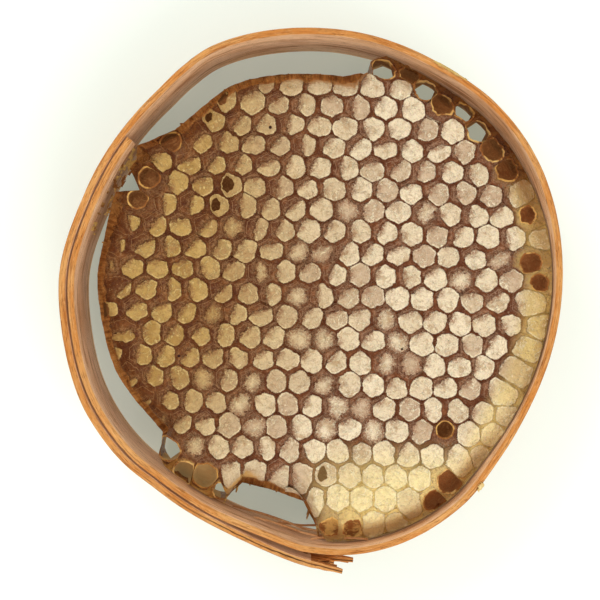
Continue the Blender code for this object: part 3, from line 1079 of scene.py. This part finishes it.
def open_cell(cell, share, depth, place):
    ring = cell_ring(cell, SIDE_STEPS, True, made)
    middle = shifted(middle_of([places[key] for key in cell_corners(cell)]), place)
    told = {"dry": -0.5, "tone": 0.5 + 0.5 * scatter(*cell, 13), "yellow": yellow_share(*middle)}
    told["amber"] = 0.6 * amber_share(*middle)
    outer = ring
    for wider, fall, hollow in LIPS:
        inner = mouth_ring(ring, middle, share + wider, fall, 0.7, hollow=hollow, **told)
        band(outer, inner)
        outer = inner
    for fall in WALL_DEPTHS:
        if fall < depth - 1:
            # The depth told to the material sets how far painted shade has darkened a wall. It grows
            # with the fall, and in a cell with a floor of honey it is scaled so that the floor is
            # darkest.
            shade = fall if depth in (THROUGH, SHALLOW) else FLOOR_SHADE_DEPTH * fall / depth
            inner = mouth_ring(ring, middle, share, fall, 0.0, hollow=1.0, depth=shade, **told)
            band(outer, inner)
            outer = inner
    if depth != THROUGH:
        inside = {"hollow": 1.0, "depth": 1.2 if depth == SHALLOW else FLOOR_SHADE_DEPTH, **told}
        floor_ring = mouth_ring(ring, middle, share * 0.8, depth, 0.3, **inside)
        band(outer, floor_ring)
        centre = middle_of([comb_points[p][:2] for p in floor_ring])
        fan(floor_ring, comb_point(*centre, surface_height(*centre) - depth - 0.3, **inside))
        return
    low_ring = cell_ring(cell, UNDER_STEPS, False, made)
    radius, angle = radius_and_angle(*middle)
    low_middle = polar(radius + LOW_MOUTH_SHIFT, angle)
    spans = [math.dist(comb_points[p][:2], low_middle) for p in low_ring]
    low_mouth = []
    for p, span in zip(low_ring, spans):
        x, y, _ = comb_points[p]
        widest = share * LOW_MOUTH_WIDENING
        kept = min(0.9, widest * blend(1.0, min(spans) / span, 0.5 * MOUTH_ROUNDNESS))
        place_x, place_y = blend(low_middle[0], x, kept), blend(low_middle[1], y, kept)
        z = COMB_BOTTOM + 0.2
        low_mouth.append(comb_point(place_x, place_y, z, hollow=0.8, depth=LIT_DEPTH, **told))
    zip_lines(outer + outer[:1], low_mouth + low_mouth[:1])
    band(low_mouth, low_ring)


def torn_hole(outline, style, share):
    """The rim of a hole in a cap: ragged, long across the style's direction, and off to its side."""
    centre = middle_of([(x, y) for x, y, _ in outline])
    hole_x = centre[0] + 0.7 * math.cos(style["direction"])
    hole_y = centre[1] + 0.7 * math.sin(style["direction"])
    long_half = share * CELL_PITCH * 0.5 * HOLE_WIDENING
    short_half = 0.62 * long_half
    rim = []
    for x, y, _ in outline:
        away = max(0.3, math.dist((x, y), (hole_x, hole_y)))
        way = math.atan2(y - hole_y, x - hole_x)
        turned = way - style["direction"]
        radius = long_half * short_half / math.hypot(
            long_half * math.cos(turned), short_half * math.sin(turned)
        )
        radius = min(0.82 * away, radius * (1 + 0.4 * lumps(x, y, 33, 1.8)))
        rim.append((hole_x + radius * math.cos(way), hole_y + radius * math.sin(way)))
    return rim, (hole_x, hole_y)


def broken_cell(cell, share, depth):
    middle = middle_of([places[key] for key in cell_corners(cell)])
    style = {**cell_style(cell, middle), "fray": 0.1, "streaked": 0.0}
    style["direction"] = math.radians(HOLE_DIRECTION)
    style["dry_reach"] = max(BROKEN_REACH, style["dry_reach"])
    outline, frays, sinks, outer = cap_to_outline(cell, middle, style)
    rim, centre = torn_hole(outline, style, share)
    for part in HOLE_RINGS:
        inner = []
        for (x1, y1, wet), (x2, y2), fray, sink in zip(outline, rim, frays, sinks):
            x, y = blend(x1, x2, part), blend(y1, y2, part)
            dry = part * math.dist((x1, y1), (x2, y2)) + 0.1
            curled = cap_point(x, y, dry, 1.0, fray, sink, style)
            px, py, pz = comb_points[curled]
            comb_points[curled] = (px, py, pz + 0.8 * part * part * max(0.0, 0.5 - wet))
            inner.append(curled)
        band(outer, inner)
        outer = inner
    told = {"dry": -0.5, "tone": style["tone"], "hollow": 1.0, "depth": FLOOR_SHADE_DEPTH}
    for fall in (*HOLE_FALLS, depth):
        widened = 1.0 + 0.25 * min(1.0, fall)
        inner = []
        for x, y in rim:
            place_x, place_y = blend(centre[0], x, widened), blend(centre[1], y, widened)
            z = surface_height(place_x, place_y) - fall
            inner.append(comb_point(place_x, place_y, z, **told))
        band(outer, inner)
        outer = inner
    fan(outer, comb_point(*centre, surface_height(*centre) - depth - 0.3, **told))


for cell, (share, depth, place) in opened.items():
    if share < BROKEN_CAP:
        broken_cell(cell, share, depth)
    else:
        open_cell(cell, share, depth, place)
print("with open cells", len(comb_faces), "faces")

# %% [markdown]
# Nothing is known of the underside, and it is out of sight while the piece lies down. It is
# guessed to have caps as well, in plain rings and with fewer of them. The sides, which show in
# the gaps between comb and hoop, are cut cells: upright columns with a line halfway down,
# where the cells of both faces meet back to back.

# %% Underside and sides
UNDER_RINGS = ((0.88, 0.15), (0.66, 0.5), (0.36, 1.2))
SIDE_LEVELS = (0.03, 0.09, 0.18, 0.30, 0.42, 0.48, 0.52, 0.58, 0.70, 0.84, 0.95)
COLUMN_INSET = 0.42


def under_cell(cell):
    ring = cell_ring(cell, UNDER_STEPS, False, made)
    middle = middle_of([places[key] for key in cell_corners(cell)])
    tone = 0.5 + 0.5 * scatter(*cell, 23)
    outer = ring
    for share, dry in UNDER_RINGS:
        inner = []
        for p in ring:
            x, y, _ = comb_points[p]
            x, y = blend(middle[0], x, share), blend(middle[1], y, share)
            z = COMB_BOTTOM + UNDER_SEAM * share**3 + 0.08 * (lumps(x, y, 40, 2) + 1)
            inner.append(comb_point(x, y, z, dry=dry, tone=tone))
        band(inner, outer)
        outer = inner
    fan(outer[::-1], comb_point(*middle, COMB_BOTTOM + 0.05, dry=1.5, tone=tone))


def side_wall(start, end):
    upper = side_points(start, end, SIDE_STEPS, True, made)
    lower = side_points(start, end, UNDER_STEPS, False, made)
    bottom = COMB_BOTTOM + UNDER_SEAM
    above = upper
    for level in SIDE_LEVELS:
        line = []
        for step, p in enumerate(upper):
            x, y, top = comb_points[p]
            key = ("wall", p, level)
            if key not in made:
                column = 1 - math.sin(math.pi * step / SIDE_STEPS)
                midrib = math.exp(-(((level - 0.5) / 0.035) ** 2))
                inset = COLUMN_INSET * (0.25 + 0.75 * column) * (1 - 0.6 * midrib)
                inset += 0.12 * (1 + lumps(x * 2, y * 2, level * 30, 2.5))
                radius, angle = radius_and_angle(x, y)
                side_x, side_y = polar(radius - inset, angle)
                z = blend(top, bottom, level)
                tone = 0.5 + 0.5 * lumps(x, y, level * 9, 4)
                made[key] = comb_point(side_x, side_y, z, dry=-0.5, tone=tone, torn=1.0)
            line.append(made[key])
        for step in range(SIDE_STEPS):
            comb_faces.append((above[step], line[step], line[step + 1], above[step + 1]))
        above = line
    zip_lines(above, lower)


for cell in cells:
    if opened.get(cell, (0, 0, 0))[1] != THROUGH:
        under_cell(cell)
sides = {}
for cell in cells:
    keys = cell_corners(cell)
    for start, end in zip(keys, keys[1:] + keys[:1]):
        sides[(start, end)] = True
rim_sides = [side for side in sides if (side[1], side[0]) not in sides]
for start, end in rim_sides:
    side_wall(start, end)
print("closed comb", len(comb_faces), "faces,", len(rim_sides), "sides on its edge")

# %% [markdown]
# Wax and honey need one material with several moods. Dry wax is tan, matt and slightly
# see-through. Where honey touches the cap it turns red-brown and glossy, with milky threads
# where the wax is only half wet. Torn walls at the comb's edge are brown and streaked upright.
# The walls of open cells are amber and thin enough to let light through, which a weak glow
# stands in for. To the right the wax is paler.


# %% Wax
THROUGH_GLOW = 0.26
PINHOLES = ((-9.4, 37.8, 0.42), (-30.5, -15.0, 0.40), (21.0, -13.4, 0.30))


def pinhole_mask(tree, axes):
    """1 inside a few tiny holes in the caps."""
    total = 0.0
    for x, y, radius in PINHOLES:
        aside = calculate(tree, "SUBTRACT", axes.outputs["X"], (x + SHIFT_X) * MM)
        up = calculate(tree, "SUBTRACT", axes.outputs["Y"], (y + SHIFT_Y) * MM)
        aside = calculate(tree, "MULTIPLY", aside, aside)
        away = calculate(tree, "MULTIPLY_ADD", up, up, aside)
        edge = (radius * MM) ** 2
        total = calculate(tree, "ADD", total, remap(tree, away, edge, edge * 0.5))
    return total


def wax_look(tree):
    """Noises, told numbers and masks that every part of the wax is mixed from."""
    look = SimpleNamespace()
    place = tree.nodes.new("ShaderNodeTexCoord").outputs["Object"]
    look.axes = tree.nodes.new("ShaderNodeSeparateXYZ")
    tree.links.new(place, look.axes.inputs["Vector"])
    look.told = {name: attribute(tree, name).outputs["Fac"] for name in FINISH}

    look.strands = noise_texture(tree, place, 950.0, 4.0, 0.66, 1.0)
    look.crumple = noise_texture(tree, place, 1900.0, 3.0, 0.7, 1.2)
    look.specks = noise_texture(tree, place, 3600.0, 2.0, 0.6)
    look.cloud = noise_texture(tree, place, 300.0, 3.0, 0.55)
    look.swirl = noise_texture(tree, place, 430.0, 2.0, 0.5, 1.4)

    look.wet_side = remap(tree, look.told["fray"], 0.12, 0.50)
    streaky = calculate(tree, "ADD", look.strands, look.crumple)
    streaky = calculate(tree, "MULTIPLY_ADD", streaky, 3.8, -3.8)
    streaky = calculate(tree, "MULTIPLY", streaky, look.told["fray"])
    torn_edge = calculate(tree, "MULTIPLY_ADD", look.specks, 0.5, -0.25)
    look.edge = calculate(tree, "ADD", look.told["dry"], streaky)
    look.edge = calculate(tree, "ADD", look.edge, torn_edge)
    look.is_dry = remap(tree, look.edge, -0.06, 0.12)

    lower = calculate(tree, "SUBTRACT", LOW_FROM * MM, look.axes.outputs["Y"])
    lower = calculate(tree, "MAXIMUM", lower, 0.0)
    across = calculate(tree, "MULTIPLY_ADD", lower, LOW_PALENESS, look.axes.outputs["X"])
    look.pale = remap(tree, across, -0.030, 0.024)
    # Painted light: a mask that grows towards the bottom, where honey and deep pockets are painted
    # lighter to lift the shade of the hoop.
    look.low = remap(tree, look.axes.outputs["Y"], -0.032, -0.040)
    return look


def dry_wax(tree, look):
    """Matt caps: gold on the left, cream on the right, yellow along the lower right rim, with a
    painted highlight round the edge of each dry part.
    """
    look.gold = mix_colour(tree, look.told["tone"], srgb(158, 121, 62), srgb(182, 147, 84))
    cream = mix_colour(tree, look.told["tone"], srgb(210, 188, 154), srgb(234, 217, 186))
    cap = mix_colour(tree, look.pale, look.gold, cream)
    look.upward = remap(tree, look.axes.outputs["Y"], -0.034, -0.012)
    look.rim_yellow = mix_colour(tree, look.upward, srgb(238, 218, 160), srgb(206, 178, 112))
    cap = mix_colour(tree, look.told["yellow"], cap, look.rim_yellow)
    darker = remap(tree, look.cloud, 0.50, 0.70, 0.0, 0.55)
    cap = mix_colour(tree, darker, cap, srgb(164, 124, 80))
    lighter = remap(tree, look.cloud, 0.47, 0.32, 0.0, 0.4)
    light = mix_colour(tree, look.pale, srgb(204, 170, 106), srgb(232, 214, 182))
    cap = mix_colour(tree, lighter, cap, light)
    mauve = remap(tree, look.told["tone"], 0.35, 0.10, 0.0, 0.6)
    mauve = calculate(tree, "MULTIPLY", mauve, look.pale)
    cap = mix_colour(tree, mauve, cap, srgb(184, 154, 128))
    look.fold = calculate(tree, "SUBTRACT", look.swirl, 0.5)
    look.fold = calculate(tree, "ABSOLUTE", look.fold, 0.0)
    look.fold = remap(tree, look.fold, 0.045, 0.006, 0.0, 0.8)
    look.fold = calculate(tree, "MULTIPLY", look.fold, remap(tree, look.cloud, 0.44, 0.56))
    # The folds' own pale colour, which the painted highlight along the dry edge below also uses.
    crease_and_highlight = mix_colour(tree, look.pale, srgb(212, 182, 118), srgb(242, 228, 196))
    cap = mix_colour(tree, look.fold, cap, crease_and_highlight)
    # Painted highlight: a pale band just inside the edge of each cap's dry part, where its crisp lip
    # would catch the light, broken up by noise.
    rim_highlight = remap(tree, look.edge, 0.02, 0.16)
    rim_highlight = calculate(tree, "MULTIPLY", rim_highlight, remap(tree, look.edge, 0.50, 0.22))
    rim_highlight = calculate(tree, "MULTIPLY", rim_highlight, remap(tree, look.swirl, 0.43, 0.56, 0.0, 0.8))
    cap = mix_colour(tree, rim_highlight, cap, crease_and_highlight)
    stained = remap(tree, look.strands, 0.50, 0.66, 0.0, 0.45)
    cap = mix_colour(tree, stained, cap, srgb(150, 112, 72))
    grainy = remap(tree, look.specks, 0.50, 0.70, 0.0, 0.34)
    cap = mix_colour(tree, grainy, cap, srgb(152, 110, 68))
    half_wet = mix_colour(tree, look.pale, srgb(128, 84, 48), srgb(148, 106, 78))
    damp = remap(tree, look.told["dry"], 2.3, 0.2)
    damp = calculate(tree, "MULTIPLY", damp, look.wet_side)
    damp = calculate(tree, "MULTIPLY", damp, remap(tree, look.crumple, 0.38, 0.58, 0.1, 1))
    cap = mix_colour(tree, damp, cap, half_wet)
    smooth_yellow = calculate(tree, "MULTIPLY", look.told["yellow"], 0.5)
    cap = mix_colour(tree, smooth_yellow, cap, look.rim_yellow)
    return cap


def wet_wax(tree, look):
    """Brown wax with honey behind it, milky threads where it is half wet, and a painted shadow line
    just outside the crisp lip of each dry cap.
    """
    left_wet = mix_colour(
        tree, remap(tree, look.cloud, 0.35, 0.65), srgb(82, 39, 12), srgb(120, 70, 32)
    )
    right_wet = mix_colour(
        tree, remap(tree, look.cloud, 0.35, 0.65), srgb(92, 45, 21), srgb(128, 75, 44)
    )
    wet = mix_colour(tree, look.pale, left_wet, right_wet)
    pooled = remap(tree, look.swirl, 0.56, 0.42, 0.0, 0.5)
    wet = mix_colour(tree, pooled, wet, srgb(78, 34, 10))
    in_yellow = calculate(tree, "MULTIPLY", look.told["yellow"], 0.85)
    yellow_wet = mix_colour(tree, look.upward, srgb(242, 212, 136), srgb(204, 170, 98))
    wet = mix_colour(tree, in_yellow, wet, yellow_wet)
    rings = calculate(tree, "MULTIPLY", look.swirl, 11.0)
    rings = calculate(tree, "PINGPONG", rings, 1.0)
    threads = remap(tree, rings, 0.84, 0.98, 0.0, 0.6)
    threads = calculate(tree, "MULTIPLY", threads, remap(tree, look.strands, 0.42, 0.56))
    film = remap(tree, look.told["dry"], -1.7, -0.1)
    film = calculate(tree, "MULTIPLY", film, look.wet_side)
    film = calculate(tree, "MULTIPLY", film, remap(tree, look.crumple, 0.44, 0.60, 0.1, 1))
    film = calculate(tree, "MULTIPLY", film, remap(tree, look.strands, 0.36, 0.54, 0.2, 1))
    from_rim = calculate(tree, "MULTIPLY_ADD", look.swirl, 0.9, look.told["wall"])
    from_rim = calculate(tree, "SUBTRACT", from_rim, 0.95)
    from_rim = calculate(tree, "ABSOLUTE", from_rim, 0.0)
    rim_line = remap(tree, from_rim, 0.12, 0.02, 0.0, 0.6)
    rim_line = calculate(tree, "MULTIPLY", rim_line, look.wet_side)
    milky = calculate(tree, "MAXIMUM", threads, film)
    milky = calculate(tree, "MAXIMUM", milky, rim_line)
    milk = mix_colour(tree, look.pale, srgb(164, 122, 78), srgb(178, 142, 112))
    wet = mix_colour(tree, milky, wet, milk)
    # Painted shadow: a thin dark line just outside the edge of a cap's dry part, as if its lip cast
    # shade. It is left off the wet side and the yellow wax.
    painted_lip_shadow = remap(tree, look.told["dry"], -0.45, -0.02, 0.0, 0.4)
    lip_shadow_side = calculate(tree, "ADD", look.wet_side, look.told["yellow"])
    lip_shadow_side = calculate(tree, "SUBTRACT", 1.0, lip_shadow_side)
    lip_shadow_side = calculate(tree, "MAXIMUM", lip_shadow_side, 0.0)
    painted_lip_shadow = calculate(tree, "MULTIPLY", painted_lip_shadow, lip_shadow_side)
    wet = mix_colour(tree, painted_lip_shadow, wet, srgb(98, 50, 24))
    return wet


def skin_of_wax(tree, look):
    """Dry and wet wax together, with pinholes, and amber where the comb meets the wood, the honey
    painted lighter towards the bottom to lift the hoop's shade there.
    """
    cap = dry_wax(tree, look)
    wet = wet_wax(tree, look)
    surface = mix_colour(tree, look.is_dry, wet, cap)
    surface = mix_colour(tree, pinhole_mask(tree, look.axes), surface, srgb(50, 18, 8))
    # Honey is painted lighter towards the bottom, as painted light against the hoop's shade.
    honey = mix_colour(tree, look.low, srgb(176, 122, 62), srgb(222, 176, 96))
    honey = mix_colour(tree, look.told["yellow"], honey, srgb(214, 166, 88))
    honeyed = calculate(tree, "MULTIPLY_ADD", look.strands, 1.0, -0.5)
    honeyed = calculate(tree, "ADD", honeyed, look.told["amber"])
    honeyed = remap(tree, honeyed, 0.30, 0.80, 0.0, 0.75)
    surface = mix_colour(tree, honeyed, surface, honey)
    return surface


def with_torn_edge(tree, look, surface):
    """Brown wax, streaked upright, where the comb's edge is torn."""
    turn = calculate(tree, "ARCTAN2", look.axes.outputs["Y"], look.axes.outputs["X"])
    lines = tree.nodes.new("ShaderNodeCombineXYZ")
    tree.links.new(calculate(tree, "MULTIPLY", turn, 60.0), lines.inputs["X"])
    tree.links.new(calculate(tree, "MULTIPLY", look.axes.outputs["Z"], 90.0), lines.inputs["Y"])
    upright = noise_texture(tree, lines.outputs["Vector"], 1.0, 3.0, 0.6)
    torn = mix_colour(tree, remap(tree, upright, 0.36, 0.64), srgb(142, 88, 42), srgb(190, 132, 70))
    torn = mix_colour(tree, remap(tree, look.specks, 0.5, 0.8, 0.0, 0.4), torn, look.gold)
    at_edge = calculate(tree, "MULTIPLY_ADD", look.strands, 0.8, -0.4)
    at_edge = calculate(tree, "ADD", at_edge, look.told["torn"])
    surface = mix_colour(tree, remap(tree, at_edge, 0.3, 0.55), surface, torn)
    return surface


def hollow_wax(tree, look):
    """The walls of open cells, painted darker further down as shade, with painted light at the bottom
    of cells that go right through, and where the walls show.
    """
    golden = mix_colour(tree, look.told["tone"], srgb(198, 150, 78), srgb(222, 184, 114))
    near = mix_colour(tree, remap(tree, look.cloud, 0.44, 0.58), srgb(138, 86, 42), golden)
    deep = mix_colour(tree, look.told["tone"], srgb(110, 66, 32), srgb(128, 84, 46))
    # Deep pockets towards the bottom are painted lighter, as painted light against the hoop's shade.
    deep = mix_colour(tree, look.low, deep, srgb(178, 148, 98))
    deep = mix_colour(tree, look.told["yellow"], deep, srgb(142, 86, 46))
    mottled = remap(tree, look.strands, 0.46, 0.62, 0.0, 0.35)
    deep = mix_colour(tree, mottled, deep, srgb(170, 122, 74))
    # Painted shade: walls go from golden near the mouth to brown further down.
    wall = mix_colour(tree, remap(tree, look.told["depth"], 0.3, 4.0), near, deep)
    # Painted light: the open bottom of a cell that goes right through gets a pale lit colour, as if
    # lit from the floor below.
    lit = remap(tree, look.told["depth"], 9.5, 20.0)
    wall = mix_colour(tree, lit, wall, srgb(190, 152, 100))
    in_hollow = remap(tree, look.told["hollow"], 0.15, 0.6)
    return wall, in_hollow


def wax_finish():
    material, tree = node_material("capped_wax")
    shader = tree.nodes["Principled BSDF"]
    look = wax_look(tree)
    surface = with_torn_edge(tree, look, skin_of_wax(tree, look))
    wall, in_hollow = hollow_wax(tree, look)
    surface = mix_colour(tree, in_hollow, surface, wall)
    tree.links.new(surface, shader.inputs["Base Color"])

    matt = calculate(tree, "MAXIMUM", look.is_dry, in_hollow)
    tree.links.new(calculate(tree, "MULTIPLY_ADD", matt, 0.42, 0.26), shader.inputs["Roughness"])
    tree.links.new(wall, shader.inputs["Emission Color"])
    through = calculate(tree, "MULTIPLY", in_hollow, THROUGH_GLOW)
    tree.links.new(through, shader.inputs["Emission Strength"])
    shader.inputs["Specular IOR Level"].default_value = 0.18
    shader.inputs["Subsurface Weight"].default_value = 0.10
    shader.inputs["Subsurface Radius"].default_value = (1.0, 0.5, 0.2)
    shader.inputs["Subsurface Scale"].default_value = 0.001
    shader.inputs["IOR"].default_value = 1.44
    step = bump(tree, look.is_dry, 0.00020, 0.9)
    folded = bump(tree, look.fold, 0.0003, 0.7, step)
    coarse = bump(tree, look.strands, 0.0009, 0.8, folded)
    tree.links.new(bump(tree, look.specks, 0.00012, 0.5, coarse), shader.inputs["Normal"])
    return material


comb_wax = new_piece("comb_wax", comb_points, comb_faces, comb_values, 70)
comb_wax.data.materials.append(wax_finish())
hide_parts("comb")

# %% [markdown]
# A few scraps finish the piece: a ragged film of wax that hangs low in the gap at the upper
# left, yellow smears on the hoop's outer edge, one curled flake near the bottom, and upright
# scraps of cell wall that jut from the comb into the gaps. Each is a thin closed sheet, made
# from a grid, some with holes left in it.


# %% Scraps of wax
FILM_GRID = (64, 10)
FILM_THICKNESS = 0.3
FILM_HEIGHT = 23.0
SMEAR_THICKNESS = 0.2
FLAKE_GRID = (18, 5)
FLAKE_THICKNESS = 0.25
WALL_GRID = (7, 14)
WALL_THICKNESS = 0.35
TORN_WALLS = (
    (247.6, 2.4, 1.5), (249.4, 3.0, 3.0), (252.0, 1.0, 9.0), (261.0, 0.7, 12.0), (267.5, 1.2, 9.0),
    (269.6, 3.0, 4.0), (271.6, 4.4, 5.0),
    (77.5, 1.7, 4.0), (81.0, 1.0, 7.0), (87.0, 0.8, 8.0), (95.0, 0.9, 8.0), (104.0, 0.7, 9.0),
    (113.0, 1.0, 7.0), (121.0, 0.8, 8.0), (127.0, 1.5, 5.0),
)


def holed_sheet(name, grid, place, kept, finish):
    """A thin closed sheet over a grid, without the squares that a function leaves out."""
    columns, rows = grid
    index, points, faces = {}, [], []

    def corner(column, row, side):
        if (column, row, side) not in index:
            index[column, row, side] = len(points)
            points.append(place(column / columns, row / rows, side))
        return index[column, row, side]

    squares = {(c, r) for c in range(columns) for r in range(rows) if kept(c / columns, r / rows)}
    for c, r in sorted(squares):
        loop = ((c, r), (c + 1, r), (c + 1, r + 1), (c, r + 1))
        faces.append(tuple(corner(*at, 0) for at in loop))
        faces.append(tuple(corner(*at, 1) for at in reversed(loop)))
        neighbours = ((c, r - 1), (c + 1, r), (c, r + 1), (c - 1, r))
        for side, neighbour in enumerate(neighbours):
            if neighbour not in squares:
                a, b = loop[side], loop[(side + 1) % 4]
                faces.append((corner(*a, 1), corner(*b, 1), corner(*b, 0), corner(*a, 0)))
    return finished_scrap(name, points, faces, finish)


def finished_scrap(name, points, faces, finish):
    values = {key: [finish.get(key, usual)] * len(points) for key, usual in FINISH.items()}
    piece = new_piece(name, points, faces, values, 60)
    piece.data.materials.append(wax)
    return piece


def torn_wall(angle, length, low, points, faces):
    """An upright scrap of cell wall that juts from the comb's edge, ragged at its end and top."""
    columns, rows = WALL_GRID
    first = len(points)
    start = comb_reach(angle) - 1.2
    high = surface_height(*polar(start + 0.4, angle)) - 0.6
    lean = 14 * scatter(int(angle * 10), 1, 31)
    for side in (-1, 1):
        for column in range(columns + 1):
            for row in range(rows + 1):
                along, up = column / columns, row / rows
                ragged = 0.75 + 0.5 * lumps(angle, up * 6, 3, 1.2)
                out = 1.2 * along + length * ragged * along * (1 - 0.5 * up * up)
                z = blend(low, high, up) - 1.6 * along * (1 + lumps(angle, along * 4, 5, 1.5)) * up
                aside = side * WALL_THICKNESS / 2 * (1 - 0.6 * along) + 0.25 * lumps(out, z, angle, 3)
                x, y = polar(start + out, angle + lean * along * along * 0.1)
                x -= aside * math.sin(math.radians(angle))
                y += aside * math.cos(math.radians(angle))
                points.append((x, y, z))
    size = (columns + 1) * (rows + 1)

    def at(column, row, side):
        return first + side * size + column * (rows + 1) + row

    for column in range(columns):
        for row in range(rows):
            square = ((column, row), (column + 1, row), (column + 1, row + 1), (column, row + 1))
            faces.append(tuple(at(*corner, 0) for corner in square))
            faces.append(tuple(at(*corner, 1) for corner in reversed(square)))
    edge = [(column, 0) for column in range(columns)] + [(columns, row) for row in range(rows)]
    edge += [(column, rows) for column in range(columns, 0, -1)]
    edge += [(0, row) for row in range(rows, 0, -1)]
    for here, there in zip(edge, edge[1:] + edge[:1]):
        faces.append((at(*here, 1), at(*there, 1), at(*there, 0), at(*here, 0)))


def film_place(along, across, side):
    angle = blend(141, 167, along)
    radius = blend(comb_reach(angle) - 0.6, hoop_inside(angle) + 0.05, across)
    sag = 1.6 * math.sin(math.pi * across)
    z = FILM_HEIGHT - sag + 0.8 * lumps(angle, across * 3, 2, 4)
    return (*polar(radius, angle), z - side * FILM_THICKNESS)


def film_kept(along, across):
    holes = lumps(along * 34, across * 7, 5, 2.2) + 0.6 * lumps(along * 34, across * 9, 9, 1.0)
    return holes > 0.02 + 0.30 * along


def smear_place(start, end, outward, width):
    def place(along, across, side):
        angle = blend(start, end, along)
        radius = hoop_inside(angle) + STRIP_THICKNESS + outward + width * (across - 0.5)
        rounded = math.sin(math.pi * along) * math.sin(math.pi * across)
        z = top_edge(angle + 360) + 0.04 + 0.5 * math.sqrt(max(0.0, rounded))
        z -= 0.9 * smooth_step(0.5, 1.0, across) + side * SMEAR_THICKNESS
        return (*polar(radius, angle), z)

    return place


def smear_kept(along, across):
    return math.hypot(2 * along - 1, 2 * across - 1) < 1.0 + 0.5 * lumps(along * 9, across * 4, 1, 1.3)


def flake_place(along, across, side):
    turn = math.radians(blend(-60, 200, along))
    x = -5.6 + 4.4 * along + 0.5 * math.sin(turn)
    y = -47.0 - 1.6 * along + 1.0 * math.cos(turn) + (across - 0.5) * 1.5 * math.cos(turn * 0.5)
    z = surface_height(x, y) + 0.9 + (across - 0.5) * 1.4 * math.sin(turn)
    return x, y, z - side * FLAKE_THICKNESS


wax = comb_wax.data.materials[0]
smear_wax = {"dry": 1.0, "fray": 0.1, "yellow": 1.0, "amber": 0.62}
holed_sheet("wax_film", FILM_GRID, film_place, film_kept, {"hollow": 0.5, "tone": 0.3})
holed_sheet("upper_smear", (26, 6), smear_place(53.5, 62.0, -0.3, 0.9), smear_kept, smear_wax)
holed_sheet("lower_smear", (10, 6), smear_place(309.8, 311.9, 0.05, 1.3), smear_kept, smear_wax)
holed_sheet(
    "curled_flake", FLAKE_GRID, flake_place, lambda along, across: True, {"dry": 1.2, "fray": 0.1}
)
wall_points, wall_faces = [], []
for angle, length, low in TORN_WALLS:
    torn_wall(angle, length, low, wall_points, wall_faces)
finished_scrap("torn_walls", wall_points, wall_faces, {"hollow": 0.6, "depth": 0.2, "tone": 0.6})
